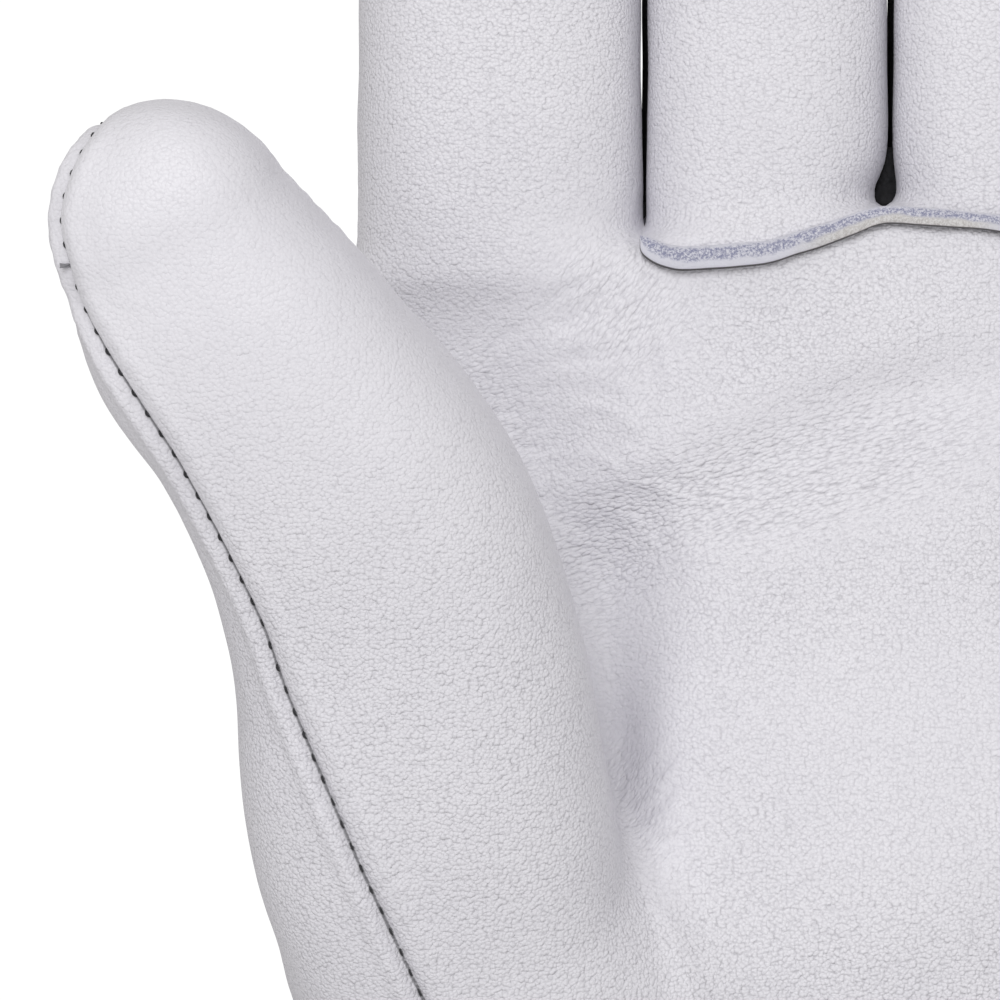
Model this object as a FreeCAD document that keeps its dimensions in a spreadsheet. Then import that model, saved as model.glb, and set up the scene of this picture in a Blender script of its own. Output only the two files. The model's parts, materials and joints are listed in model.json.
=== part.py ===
"""Left welding glove in goatskin with a split-leather cuff, standing on its cuff rim.

Millimetres. +Z runs from the cuff to the fingertips, the palm faces -Y and the thumb is on the -X side.
The origin is the centre of the cuff's mouth, on the surface that the rim stands on.
Every finger has a low tube and a tip tube, cut into its front, back and fourchette panels, and a crease
of soft leather at each of its two bends.
"""

import FreeCAD
import Part
import Sketcher

import math
import os

# ---------------------------------------------------------------- driving dimensions

GENERAL = {
    "leather": 1.2,  # goatskin thickness
    "cuff_leather": 1.6,  # split cowhide thickness
    "rim_height": 1.0,  # bottom of the cuff leather, inside the fold of the binding
    "binding": 1.0,  # thickness of the hem binding
    "binding_height": 12.0,
    "wrist_height": 115.0,  # seam between the cuff and the hand
    "roof_height": 236.0,  # top of the hand, where the fingers start
    "finger_root": 236.3,
    "finger_well": 232.0,  # how far down the finger cavities cut through the roof
    "finger_taper": 0.9,  # width at the start of the tip dome, as a share of the root
    "dome_share": 0.5,  # height of the tip dome, as a share of the finger's width
    "base_crease": 9.6,  # half length of the crease at a finger's base
    "tip_crease": 10.2,  # half length of the crease at a finger's middle knuckle
    "fourchette_width": 9.0,
    "side_seam": -6.0,  # Y of the seam between palm and back
    "seam_lip": 1.3,  # how far the raw edge at the finger bases stands out
    "seam_lip_height": 3.0,
    "seam_lip_reach": 23.6,  # half width of that edge, across two fingers
}

# name: height, centre in X, half width, half depth
HAND_SECTIONS = {
    "wrist": (115.0, 0.0, 45.0, 30.0),
    "heel": (150.0, -0.5, 50.0, 28.0),
    "middle_palm": (182.0, -1.5, 52.0, 21.0),
    "upper_palm": (205.0, -2.5, 52.0, 17.0),
    "roof": (236.0, -3.4, 50.2, 14.0),
}
CUFF_SECTIONS = {
    "cuff_top": (114.9, 0.0, 45.0, 30.0),
    "cuff_flare": (70.0, 0.0, 52.0, 35.0),
    "cuff_rim": (1.0, 0.0, 60.0, 41.0),
}

# name: centre in X, width, depth, base pivot height, middle-knuckle pivot height, tip height,
# and the sides that carry a fourchette
FINGERS = {
    "index": (-38.7, 28.6, 25.6, 247.0, 283.0, 322.0, ("right",)),
    "middle": (-12.1, 23.6, 22.8, 247.0, 286.0, 330.0, ("left", "right")),
    "ring": (12.1, 23.6, 22.8, 247.0, 284.0, 325.0, ("left", "right")),
    "little": (35.4, 22.0, 21.0, 245.5, 273.0, 300.0, ("left",)),
}

# name: centre X, Y, Z, half width, half depth; the two pivots are thumb_root and thumb_knuckle
THUMB_SECTIONS = {
    "thenar_low": (-27.0, -7.0, 136.0, 20.0, 18.0),
    "thenar_high": (-39.5, -20.0, 166.0, 18.0, 16.0),
    "thumb_root": (-47.0, -28.5, 190.0, 17.4, 14.4),
    "thumb_knuckle": (-56.0, -37.0, 218.0, 15.6, 13.4),
    "thumb_pad": (-67.5, -41.5, 235.0, 14.2, 12.4),
    "thumb_dome": (-73.5, -43.0, 243.5, 12.0, 10.8),
}
THUMB_DOME_HEIGHT = 11.5
THUMB_ROOT_CREASE = 4.6  # half length of the crease at the thumb's root
THUMB_KNUCKLE_CREASE = 7.2  # half length of the crease at the thumb's middle knuckle
CLEAR = 0.15  # half the space between two neighbouring bodies at a crease
PAST = 1.0  # how far a cutting solid runs past the face it opens

FAR = 200.0  # larger than the glove across

doc = FreeCAD.newDocument("WeldingGlove")
sheet = doc.addObject("Spreadsheet::Sheet", "Sizes")


def fill_sheet():
    """One row for each driving dimension: its name in column A and its value in column B."""
    rows = dict(GENERAL)
    for group in (HAND_SECTIONS, CUFF_SECTIONS):
        for name, (height, centre_x, half_width, half_depth) in group.items():
            rows[name + "_height"] = height
            rows[name + "_centre"] = centre_x
            rows[name + "_half_width"] = half_width
            rows[name + "_half_depth"] = half_depth
    for name, (centre_x, width, depth, base, middle, tip, _sides) in FINGERS.items():
        rows[name + "_centre"] = centre_x
        rows[name + "_width"] = width
        rows[name + "_depth"] = depth
        rows[name + "_base_pivot"] = base
        rows[name + "_tip_pivot"] = middle
        rows[name + "_tip_height"] = tip
    for name, (_x, _y, _z, half_width, half_depth) in THUMB_SECTIONS.items():
        rows[name + "_half_width"] = half_width
        rows[name + "_half_depth"] = half_depth
    rows["thumb_dome_height"] = THUMB_DOME_HEIGHT
    for row, (name, value) in enumerate(rows.items(), start=1):
        sheet.set("A%d" % row, name)
        sheet.set("B%d" % row, str(value))
        sheet.setAlias("B%d" % row, name)


def bind(feature, **expressions):
    """Binds properties of a feature to expressions; words in them that are sheet names are looked up."""
    for prop, text in expressions.items():
        feature.setExpression(prop.replace("__", "."), text)
    return feature


# ---------------------------------------------------------------- features


def make_box(name, low, high):
    """A plain box between two corners, each number an expression."""
    feature = doc.addObject("Part::Box", name)
    sizes = ["(%s) - (%s)" % (b, a) for a, b in zip(low, high)]
    bind(feature, Length=sizes[0], Width=sizes[1], Height=sizes[2])
    bind(feature, Placement__Base__x=low[0], Placement__Base__y=low[1], Placement__Base__z=low[2])
    return feature


def boolean(kind, name, base, tool):
    feature = doc.addObject("Part::" + kind, name)
    feature.Base = base
    feature.Tool = tool
    return feature


def fuse(name, shapes):
    feature = doc.addObject("Part::MultiFuse", name)
    feature.Shapes = shapes
    feature.Refine = True
    return feature


def loft(name, sections, ruled=True):
    feature = doc.addObject("Part::Loft", name)
    feature.Sections = sections
    feature.Solid = True
    feature.Ruled = ruled
    return feature


def round_ended_sketch(name, height, centre_x, half_width, half_depth):
    """A flat outline of two half circles and the two straight lines between them."""
    sketch = doc.addObject("Sketcher::SketchObject", name)
    value = {"w": evaluate(half_width), "d": evaluate(half_depth)}
    reach = value["w"] - value["d"]
    normal = FreeCAD.Vector(0, 0, 1)
    right = Part.Circle(FreeCAD.Vector(reach, 0, 0), normal, value["d"])
    left = Part.Circle(FreeCAD.Vector(-reach, 0, 0), normal, value["d"])
    corners = [
        FreeCAD.Vector(reach, -value["d"], 0),
        FreeCAD.Vector(reach, value["d"], 0),
        FreeCAD.Vector(-reach, value["d"], 0),
        FreeCAD.Vector(-reach, -value["d"], 0),
    ]
    arc_right = sketch.addGeometry(Part.ArcOfCircle(right, -math.pi / 2, math.pi / 2))
    top = sketch.addGeometry(Part.LineSegment(corners[1], corners[2]))
    arc_left = sketch.addGeometry(Part.ArcOfCircle(left, math.pi / 2, 3 * math.pi / 2))
    bottom = sketch.addGeometry(Part.LineSegment(corners[3], corners[0]))
    add_round_ended_constraints(sketch, arc_right, top, arc_left, bottom, value)
    reach = "(%s) - (%s)" % (half_width, half_depth)
    bind(sketch, Constraints__radius=half_depth, Constraints__reach=reach)
    bind(sketch, Placement__Base__x=centre_x, Placement__Base__z=height)
    return sketch


def add_round_ended_constraints(sketch, arc_right, top, arc_left, bottom, value):
    start, end, centre = 1, 2, 3
    axis_x = -1
    constrain = Sketcher.Constraint
    sketch.addConstraint(constrain("Tangent", arc_right, end, top, start))
    sketch.addConstraint(constrain("Tangent", top, end, arc_left, start))
    sketch.addConstraint(constrain("Tangent", arc_left, end, bottom, start))
    sketch.addConstraint(constrain("Tangent", bottom, end, arc_right, start))
    sketch.addConstraint(constrain("Horizontal", top))
    sketch.addConstraint(constrain("PointOnObject", arc_right, centre, axis_x))
    sketch.addConstraint(constrain("Symmetric", arc_right, centre, arc_left, centre, axis_x, start))
    radius = sketch.addConstraint(constrain("Radius", arc_right, value["d"]))
    sketch.renameConstraint(radius, "radius")
    reach = sketch.addConstraint(
        constrain("DistanceX", axis_x, start, arc_right, centre, value["w"] - value["d"])
    )
    sketch.renameConstraint(reach, "reach")


def evaluate(expression):
    """The number that an expression of sheet cells stands for now."""
    return float(sheet.evalExpression(expression))


def cell(name):
    return "Sizes." + name


def ellipse(name, half_width, half_depth, placement=None, **position):
    feature = doc.addObject("Part::Ellipse", name)
    if placement is not None:
        feature.Placement = placement
    bind(feature, MajorRadius=half_width, MinorRadius=half_depth, **position)
    return feature


def half_ellipsoid(name, half_width, half_depth, height, placement=None, **position):
    feature = doc.addObject("Part::Ellipsoid", name)
    feature.Angle1 = 0
    feature.Angle2 = 90
    if placement is not None:
        feature.Placement = placement
    bind(feature, Radius1=height, Radius2=half_width, Radius3=half_depth, **position)
    return feature


pieces = {}


def keep(name, feature):
    """Makes a feature one of the glove's sub-parts, under its own label."""
    feature.Label = name
    pieces[name] = feature


# ---------------------------------------------------------------- fingers


def finger_solid(name, kind, inset, foot):
    """A finger's whole outside or inside: a tapered elliptical tube closed by a half ellipsoid."""
    width, depth = cell(name + "_width"), cell(name + "_depth")
    taper, centre = cell("finger_taper"), cell(name + "_centre")
    dome = "%s * %s" % (cell("dome_share"), width)
    shoulder = "%s - %s" % (cell(name + "_tip_height"), dome)
    root = ellipse(
        "%s_%s_root" % (name, kind),
        "%s / 2 - %s" % (width, inset),
        "%s / 2 - %s" % (depth, inset),
        Placement__Base__x=centre,
        Placement__Base__z=foot,
    )
    sizes = ["%s * %s / 2 - %s" % (taper, size, inset) for size in (width, depth)]
    neck = ellipse(
        "%s_%s_shoulder" % (name, kind), *sizes, Placement__Base__x=centre, Placement__Base__z=shoulder
    )
    tube = loft("%s_%s_tube" % (name, kind), [root, neck])
    tip = half_ellipsoid(
        "%s_%s_dome" % (name, kind),
        *sizes,
        "%s - %s" % (dome, inset),
        Placement__Base__x=centre,
        Placement__Base__z=shoulder,
    )
    return fuse("%s_%s" % (name, kind), [tube, tip])


def finger(name, sides):
    """Cuts one finger's wall into its creases and its front, back and fourchette panels."""
    outside = finger_solid(name, "outside", "0", cell("finger_root"))
    inside = finger_solid(name, "inside", cell("leather"), cell("finger_well"))
    wall = boolean("Cut", name + "_wall", outside, inside)
    base, middle = cell(name + "_base_pivot"), cell(name + "_tip_pivot")
    base_half, tip_half = cell("base_crease"), cell("tip_crease")
    bands = {
        "base_crease": (cell("finger_root"), "%s + %s - %s" % (base, base_half, CLEAR)),
        "low": ("%s + %s" % (base, base_half), "%s - %s" % (middle, tip_half)),
        "mid_crease": ("%s - %s + %s" % (middle, tip_half, CLEAR), "%s + %s - %s" % (middle, tip_half, CLEAR)),
        "tip": ("%s + %s" % (middle, tip_half), cell(name + "_tip_height") + " + 1"),
    }
    for band, (low, high) in bands.items():
        slab = make_box("%s_%s_slab" % (name, band), ("-%g" % FAR, "-%g" % FAR, low), (str(FAR), str(FAR), high))
        ring = boolean("Common", "%s_%s_ring" % (name, band), wall, slab)
        if "crease" in band:
            keep("%s_%s" % (name, band), ring)
        else:
            finger_panels(name, band, ring, sides)
    return inside


def finger_panels(name, band, ring, sides):
    centre, half = cell(name + "_centre"), cell("fourchette_width") + " / 2"
    reach = {"left": ("-%g" % FAR, centre), "right": (centre, str(FAR))}
    strips = []
    for side in sides:
        low_x, high_x = reach[side]
        strips.append(
            make_box(
                "%s_%s_%s_strip" % (name, side, band),
                (low_x, "-(%s)" % half, cell("finger_well")),
                (high_x, half, cell(name + "_tip_height") + " - 3"),
            )
        )
        keep(
            "%s_%s_fourchette_%s" % (name, side, band),
            boolean("Common", "%s_%s_%s_gusset" % (name, side, band), ring, strips[-1]),
        )
    halves = {"front": ("-%g" % FAR, "0"), "back": ("0", str(FAR))}
    for face, (low_y, high_y) in halves.items():
        block = make_box(
            "%s_%s_%s_block" % (name, face, band),
            ("-%g" % FAR, low_y, cell("finger_well")),
            (str(FAR), high_y, cell(name + "_tip_height") + " + 1"),
        )
        panel = boolean("Common", "%s_%s_%s_half" % (name, face, band), ring, block)
        for strip in strips:
            panel = boolean("Cut", panel.Name + "_cut", panel, strip)
        keep("%s_%s_%s" % (name, face, band), panel)


# ---------------------------------------------------------------- thumb


def thumb_frames():
    """A placement for each thumb section: local Z along the thumb, local X across its width."""
    names = list(THUMB_SECTIONS)
    points = [FreeCAD.Vector(*THUMB_SECTIONS[name][:3]) for name in names]
    across = FreeCAD.Vector(0.92, -0.12, 0.38)
    frames = {}
    for i, name in enumerate(names):
        along = (points[min(i + 1, len(points) - 1)] - points[max(i - 1, 0)]).normalize()
        frames[name] = FreeCAD.Placement(
            points[i], FreeCAD.Rotation(across, FreeCAD.Vector(), along, "ZXY")
        )
    return frames


def thumb_ellipse(name, kind, frame, inset, shift=0.0):
    placement = FreeCAD.Placement(frame.multVec(FreeCAD.Vector(0, 0, shift)), frame.Rotation)
    sizes = ["%s - %s" % (cell(name + "_half_" + size), inset) for size in ("width", "depth")]
    return ellipse("%s_%s" % (name, kind), *sizes, placement=placement)


def thumb_solid(kind, frames, inset, shift=0.0):
    """The free thumb's whole outside or inside, from its root crease to its domed tip."""
    names = ["thumb_root", "thumb_knuckle", "thumb_pad", "thumb_dome"]
    sections = [
        thumb_ellipse(name, kind, frames[name], inset, -THUMB_ROOT_CREASE - shift if i == 0 else 0.0)
        for i, name in enumerate(names)
    ]
    tube = loft("thumb_%s_tube" % kind, sections)
    tip = half_ellipsoid(
        "thumb_%s_dome" % kind,
        "%s - %s" % (cell("thumb_dome_half_width"), inset),
        "%s - %s" % (cell("thumb_dome_half_depth"), inset),
        "%s - %s" % (cell("thumb_dome_height"), inset),
        placement=frames["thumb_dome"],
    )
    return fuse("thumb_" + kind, [tube, tip])


def thenar_solid(kind, frames, inset, shift=0.0):
    """The ball of the thumb, which belongs to the hand and ends at the thumb's root crease."""
    names = ["thenar_low", "thenar_high", "thumb_root"]
    sections = [
        thumb_ellipse(
            name, kind + "_ball", frames[name], inset, -THUMB_ROOT_CREASE - 2 * CLEAR + shift if i == 2 else 0.0
        )
        for i, name in enumerate(names)
    ]
    return loft("thenar_" + kind, sections)


def thumb_slab(name, frame, low, high, low_y=-FAR / 2, high_y=FAR / 2):
    """A block square to the thumb at one of its pivots, from low to high along it."""
    feature = doc.addObject("Part::Box", name)
    feature.Length, feature.Width, feature.Height = FAR, high_y - low_y, high - low
    corner = frame.multVec(FreeCAD.Vector(-FAR / 2, low_y, low))
    feature.Placement = FreeCAD.Placement(corner, frame.Rotation)
    return feature


def thumb(frames, palm_outside):
    """The free thumb's creases and its front and back panels, trimmed where the root meets the palm."""
    outside = thumb_solid("outside", frames, "0")
    inside = thumb_solid("inside", frames, cell("leather"), PAST)
    wall = boolean("Cut", "thumb_wall", outside, inside)
    root, knuckle = frames["thumb_root"], frames["thumb_knuckle"]
    above_root = thumb_slab("above_root", root, THUMB_ROOT_CREASE, FAR)
    below_root = thumb_slab("below_root", root, -FAR, THUMB_ROOT_CREASE - CLEAR)
    below_knuckle = thumb_slab("below_knuckle", knuckle, -FAR, -THUMB_KNUCKLE_CREASE)
    at_knuckle = thumb_slab(
        "at_knuckle", knuckle, -THUMB_KNUCKLE_CREASE + CLEAR, THUMB_KNUCKLE_CREASE - CLEAR
    )
    above_knuckle = thumb_slab("above_knuckle", knuckle, THUMB_KNUCKLE_CREASE, FAR)
    root_ring = boolean("Common", "thumb_base_crease_ring", wall, below_root)
    keep("thumb_base_crease", boolean("Cut", "thumb_base_crease_trimmed", root_ring, palm_outside))
    keep("thumb_mid_crease", boolean("Common", "thumb_mid_crease_ring", wall, at_knuckle))
    low_open = boolean("Common", "thumb_low_open", wall, above_root)
    rings = {
        "low": boolean("Common", "thumb_low_ring", low_open, below_knuckle),
        "tip": boolean("Common", "thumb_tip_ring", wall, above_knuckle),
    }
    halves = {"front": (-FAR / 2, 0.0), "back": (0.0, FAR / 2)}
    for band, ring in rings.items():
        for face, (low_y, high_y) in halves.items():
            block = thumb_slab("thumb_%s_%s_block" % (face, band), knuckle, -FAR, FAR, low_y, high_y)
            keep("thumb_%s_%s" % (face, band), boolean("Common", "thumb_%s_%s_half" % (face, band), ring, block))


# ---------------------------------------------------------------- hand and cuff


def round_ended_loft(name, rows, inset, lift=None):
    """A loft through round-ended outlines; lift moves single sections up or down, by their names."""
    sections = [
        round_ended_sketch(
            "%s_%s" % (name, row),
            cell(row + "_height") + (lift or {}).get(row, ""),
            cell(row + "_centre"),
            "%s - %s" % (cell(row + "_half_width"), inset),
            "%s - %s" % (cell(row + "_half_depth"), inset),
        )
        for row in rows
    ]
    return loft(name, sections)


def front_and_back(names, wall, seam):
    """Cuts a wall at the side seams into a front panel and a back panel."""
    ranges = (("-%g" % FAR, seam), (seam, str(FAR)))
    for name, (low_y, high_y) in zip(names, ranges):
        block = make_box(
            name + "_block", ("-%g" % FAR, low_y, "-1"), (str(FAR), high_y, cell("roof_height") + " + 1")
        )
        keep(name, boolean("Common", name + "_half", wall, block))


def hand(frames, palm_outside, finger_insides):
    """The palm and back, with the ball of the thumb, a roof, and holes into the thumb and fingers."""
    skin = cell("leather")
    lift = {"wrist": " - %g" % PAST, "roof": " - " + skin}
    palm_inside = round_ended_loft("hand_inside", HAND_SECTIONS, skin, lift)
    ball_outside = thenar_solid("outside", frames, "0")
    ball_inside = thenar_solid("inside", frames, skin, PAST)
    wall = fuse("hand_solid", [palm_outside, ball_outside])
    hollows = {"hand": palm_inside, "ball": ball_inside, **finger_insides}
    for name, inside in hollows.items():
        wall = boolean("Cut", "hand_wall_%s_hollow" % name, wall, inside)
    front_and_back(("palm_panel", "back_panel"), wall, cell("side_seam"))


def seam_lip(palm_outside):
    """The raw leather edge that stands out along the base of the middle and ring fingers."""
    parts = {}
    for kind, spread in (("lip", " + " + cell("seam_lip")), ("core", "")):
        half_width, half_depth = cell("roof_half_width"), cell("roof_half_depth")
        ends = [
            round_ended_sketch(
                "seam_%s_%s" % (kind, end),
                height,
                cell("roof_centre"),
                half_width + spread,
                half_depth + spread,
            )
            for end, height in (
                ("low", cell("roof_height") + " - " + cell("seam_lip_height")),
                ("high", cell("roof_height")),
            )
        ]
        parts[kind] = loft("seam_" + kind, ends)
    ring = boolean("Cut", "seam_ring", parts["lip"], parts["core"])
    trimmed = boolean("Cut", "seam_ring_trimmed", ring, palm_outside)
    reach = cell("seam_lip_reach")
    window = make_box("seam_window", ("-(%s)" % reach, "-%g" % FAR, "0"), (reach, "-5", cell("roof_height")))
    keep("finger_base_seam_edge", boolean("Common", "seam_edge", trimmed, window))


def cuff():
    """The flared cuff, front and back, and the binding folded round its rim."""
    skin = cell("cuff_leather")
    lift = {"cuff_top": " + %g" % PAST, "cuff_rim": " - %g" % PAST}
    outside = round_ended_loft("cuff_outside", CUFF_SECTIONS, "0")
    inside = round_ended_loft("cuff_inside", CUFF_SECTIONS, skin, lift)
    wall = boolean("Cut", "cuff_wall", outside, inside)
    front_and_back(("cuff_front", "cuff_back"), wall, "0")
    spreads = {"skin": " + " + cell("binding"), "core": " - %s - %s" % (skin, cell("binding"))}
    parts = {}
    for kind, spread in spreads.items():
        past = PAST if kind == "core" else 0.0
        ends = [
            round_ended_sketch(
                "binding_%s_%s" % (kind, end),
                height,
                cell("cuff_rim_centre"),
                cuff_half("width", height) + spread,
                cuff_half("depth", height) + spread,
            )
            for end, height in (("low", "-%g" % past), ("high", cell("binding_height") + " + %g" % past))
        ]
        parts[kind] = loft("binding_" + kind, ends)
    fold = boolean("Cut", "binding_fold", parts["skin"], parts["core"])
    keep("hem_binding", boolean("Cut", "binding_round_rim", fold, wall))


def cuff_half(size, height):
    """The cuff's half width or half depth at a height between its rim and its flare, as an expression."""
    rim, flare = (cell("cuff_%s_half_%s" % (row, size)) for row in ("rim", "flare"))
    low, high = (cell("cuff_%s_height" % row) for row in ("rim", "flare"))
    return "%s + (%s - %s) * (%s - %s) / (%s - %s)" % (rim, flare, rim, height, low, high, low)


# ---------------------------------------------------------------- the glove


def check(features):
    """Stops if an object failed to recompute or a sub-part's shape is not one sound closed solid or more."""
    failed = [o.Label for o in doc.Objects if {"Invalid", "Error"} & set(o.State)]
    if failed:
        raise RuntimeError("these objects failed: %s" % ", ".join(failed))
    for name, feature in features.items():
        shape = feature.Shape
        if shape.isNull() or not shape.isValid() or not shape.Solids:
            raise RuntimeError("sub-part %s has no valid solid" % name)


fill_sheet()
doc.recompute()
frames = thumb_frames()
palm_outside = round_ended_loft("hand_outside", HAND_SECTIONS, "0")
insides = {name: finger(name, sizes[-1]) for name, sizes in FINGERS.items()}
thumb(frames, palm_outside)
hand(frames, palm_outside, insides)
seam_lip(palm_outside)
cuff()
doc.recompute()
check(pieces)

os.makedirs("parts", exist_ok=True)
for name, feature in sorted(pieces.items()):
    feature.Shape.exportStep(os.path.join("parts", name + ".step"))
    solids = len(feature.Shape.Solids)
    print("%-32s %9.1f mm3, solids: %d" % (name, feature.Shape.Volume, solids))
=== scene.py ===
"""Looks of a left welding glove: one leather skin, cut into its sewn panels, on a split-leather cuff.

The skin is the zero surface of a smooth field on a grid, so that palm, fingers and thumb flow into
each other. It is cut along its seams and bends, given its leather's thickness, and sewn.
Shapes are worked out in millimetres and turned into metres when a mesh is made.
"""

import json
import math

import bpy
import numpy as np
import openvdb
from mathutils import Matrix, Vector
from mathutils.bvhtree import BVHTree
from mathutils.kdtree import KDTree


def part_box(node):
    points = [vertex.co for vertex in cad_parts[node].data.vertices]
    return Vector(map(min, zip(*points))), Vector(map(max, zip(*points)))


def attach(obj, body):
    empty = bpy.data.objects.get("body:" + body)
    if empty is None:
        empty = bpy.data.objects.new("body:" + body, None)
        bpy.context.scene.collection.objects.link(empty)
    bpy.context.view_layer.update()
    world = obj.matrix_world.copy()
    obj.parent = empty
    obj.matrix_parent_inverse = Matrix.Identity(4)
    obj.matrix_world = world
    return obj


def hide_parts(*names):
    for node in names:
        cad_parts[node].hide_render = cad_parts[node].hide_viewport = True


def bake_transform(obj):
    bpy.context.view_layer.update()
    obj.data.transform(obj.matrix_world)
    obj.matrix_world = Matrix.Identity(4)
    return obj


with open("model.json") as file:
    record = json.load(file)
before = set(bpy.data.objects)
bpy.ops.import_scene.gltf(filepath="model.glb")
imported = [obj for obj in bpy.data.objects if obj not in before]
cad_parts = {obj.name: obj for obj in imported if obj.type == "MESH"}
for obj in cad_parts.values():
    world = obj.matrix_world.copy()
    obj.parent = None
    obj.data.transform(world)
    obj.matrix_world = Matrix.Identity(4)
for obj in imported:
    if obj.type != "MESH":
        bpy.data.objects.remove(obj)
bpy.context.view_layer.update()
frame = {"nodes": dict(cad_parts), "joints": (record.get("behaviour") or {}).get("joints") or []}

MM = 0.001
LEATHER = 1.2
CUFF_LEATHER = 1.6
VOXEL = 0.8
FAR_OUT = 60.0  # a field value well outside every surface
FINGER_NAMES = ("index", "middle", "ring", "little")
JOINTS = {joint["name"]: joint for joint in frame["joints"]}


def box_mm(node):
    low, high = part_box(node)
    return np.array(low) / MM, np.array(high) / MM


def pivot_mm(joint):
    return np.array(JOINTS[joint]["pos_m"]) / MM


# ---------------------------------------------------------------- shapes as fields


def smoothstep(low, high, value):
    t = np.clip((value - low) / (high - low), 0, 1)
    return t * t * (3 - 2 * t)


def smooth_min(a, b, k):
    t = np.clip(0.5 + 0.5 * (b - a) / k, 0, 1)
    return b * (1 - t) + a * t - k * t * (1 - t)


def smooth_max(a, b, k):
    return -smooth_min(-a, -b, k)


def curve(points, count):
    """A Catmull-Rom curve through points of any dimension, sampled evenly in its parameter."""
    points = np.asarray(points, float)
    padded = np.vstack([2 * points[0] - points[1], points, 2 * points[-1] - points[-2]])
    at = np.linspace(0, len(points) - 1 - 1e-9, count)
    i = at.astype(int)
    t = (at - i)[:, None]
    p0, p1, p2, p3 = padded[i], padded[i + 1], padded[i + 2], padded[i + 3]
    slope_1, slope_2 = (p2 - p0) / 2, (p3 - p1) / 2
    h1, h2 = 2 * t**3 - 3 * t**2 + 1, t**3 - 2 * t**2 + t
    return h1 * p1 + h2 * slope_1 + (1 - h1) * p2 + (t**3 - t**2) * slope_2


def line_distance(x, z, points):
    """Signed distance in the XZ plane to a smooth curve, positive on its left, and the share along it."""
    line = curve(points, 90)
    shape = np.shape(x)
    flat = np.stack([np.ravel(x), np.ravel(z)], 1)
    distance, share = np.empty(len(flat)), np.empty(len(flat))
    step = np.gradient(line, axis=0)
    step /= np.linalg.norm(step, axis=1)[:, None]
    for start in range(0, len(flat), 100_000):
        part = flat[start : start + 100_000]
        gap = ((part[:, None, :] - line[None]) ** 2).sum(2)
        i = gap.argmin(1)
        rel = part - line[i]
        side = step[i, 0] * rel[:, 1] - step[i, 1] * rel[:, 0]
        distance[start : start + 100_000] = np.sqrt(gap[np.arange(len(part)), i]) * np.where(side < 0, -1, 1)
        share[start : start + 100_000] = i / (len(line) - 1)
    return distance.reshape(shape), share.reshape(shape)


def lattice_noise(points, scale, seed):
    """Smooth noise from -1 to 1, from random values on a lattice with cells of one scale."""
    table = np.random.default_rng(seed).uniform(-1, 1, (32, 32, 32)).astype(np.float32)
    q = np.asarray(points, np.float32) / np.asarray(scale, np.float32)
    i = np.floor(q).astype(int)
    t = q - i
    t = t * t * (3 - 2 * t)
    total = 0
    for dx in (0, 1):
        for dy in (0, 1):
            for dz in (0, 1):
                weight = (
                    (t[..., 0] if dx else 1 - t[..., 0])
                    * (t[..., 1] if dy else 1 - t[..., 1])
                    * (t[..., 2] if dz else 1 - t[..., 2])
                )
                total = total + weight * table[
                    (i[..., 0] + dx) % 32, (i[..., 1] + dy) % 32, (i[..., 2] + dz) % 32
                ]
    return total


# height, centre in X, half width, depth to the palm's front, depth to the back
HAND_PROFILE = np.array(
    [
        (100, 0.0, 45.5, 27.5, 30.0), (115, 0.0, 45.0, 25.8, 29.5), (132, -0.3, 47.0, 24.2, 28.5),
        (150, -0.5, 49.5, 23.4, 27.0), (165, -1.0, 51.0, 24.0, 25.3), (178, -1.4, 51.3, 23.7, 23.6),
        (190, -1.8, 51.6, 21.5, 21.6), (205, -2.4, 51.8, 17.8, 18.6), (225, -3.0, 51.2, 14.4, 15.4),
        (242, -3.4, 50.0, 12.9, 13.3),
    ]
)
HAND_ROUND = 2.5  # exponent of the hand's superelliptic section
FINGER_ROUND = 2.65
CROTCHES = {-24.0: 240.0, 1.0: 243.6, 24.3: 238.5}  # X of each finger gap: height of its foot
# how far the left and the right finger draw back from a gap at its foot
GAP_WIDE = {-24.0: (0.1, 0.1), 1.0: (2.0, 0.7), 24.3: (0.5, 0.5)}
GAP_RISE = 3.6  # how fast a gap closes above its foot
SLIT = {-24.0: 0.1, 1.0: 0.09, 24.3: 0.1}  # half width of each gap between its neighbours
GAP_WAVE = 0.3  # how deep the touching sides of two fingers interlock

# centre X, Y, Z, half width, half depth along the ball of the thumb and the thumb
THUMB_PATH = np.array(
    [
        (-30.0, -7.0, 140.0, 19.0, 17.0), (-39.4, -18.0, 163.0, 16.5, 15.7),
        (-45.0, -25.5, 181.0, 17.9, 15.2), (-47.2, -30.5, 197.0, 17.3, 14.5),
        (-50.1, -34.0, 207.5, 16.6, 14.0), (-54.0, -36.8, 216.0, 15.6, 13.6),
        (-59.4, -39.0, 224.5, 14.4, 13.2), (-65.4, -41.0, 232.0, 13.9, 12.5),
        (-70.0, -43.0, 240.1, 11.5, 10.8),
    ]
)
THUMB_TIP_HEIGHT = 12.4
THUMB_ROUND = 2.7
THUMB_ACROSS = np.array((0.92, -0.12, 0.38))
WEB_BLEND = (15.0, 2.0)  # how softly the thumb flows into the palm: at the heel, and at its crotch
KNUCKLE_BLEND = 3.2  # how softly the fingers do


def finger_sizes(name):
    """Centre in X, half width, half depth and tip height of a finger, from its CAD solids."""
    low, high = box_mm(name + "_base_crease")
    tip = box_mm(name + "_front_tip")[1][2]
    return (low[0] + high[0]) / 2, (high[0] - low[0]) / 2, (high[1] - low[1]) / 2, tip


FINGERS = {name: finger_sizes(name) for name in FINGER_NAMES}


# X and height of the palm's hollow beside the thumb, from the heel up to the index finger
HOLLOW = [(-27.8, 171), (-27.4, 181), (-27.2, 191), (-27.8, 200), (-29.8, 209),
          (-35, 218), (-42.5, 226), (-51, 234)]
HOLLOW_DEEP = 8.4
HOLLOW_WIDE = 5.2  # on the thumb's side


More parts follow.
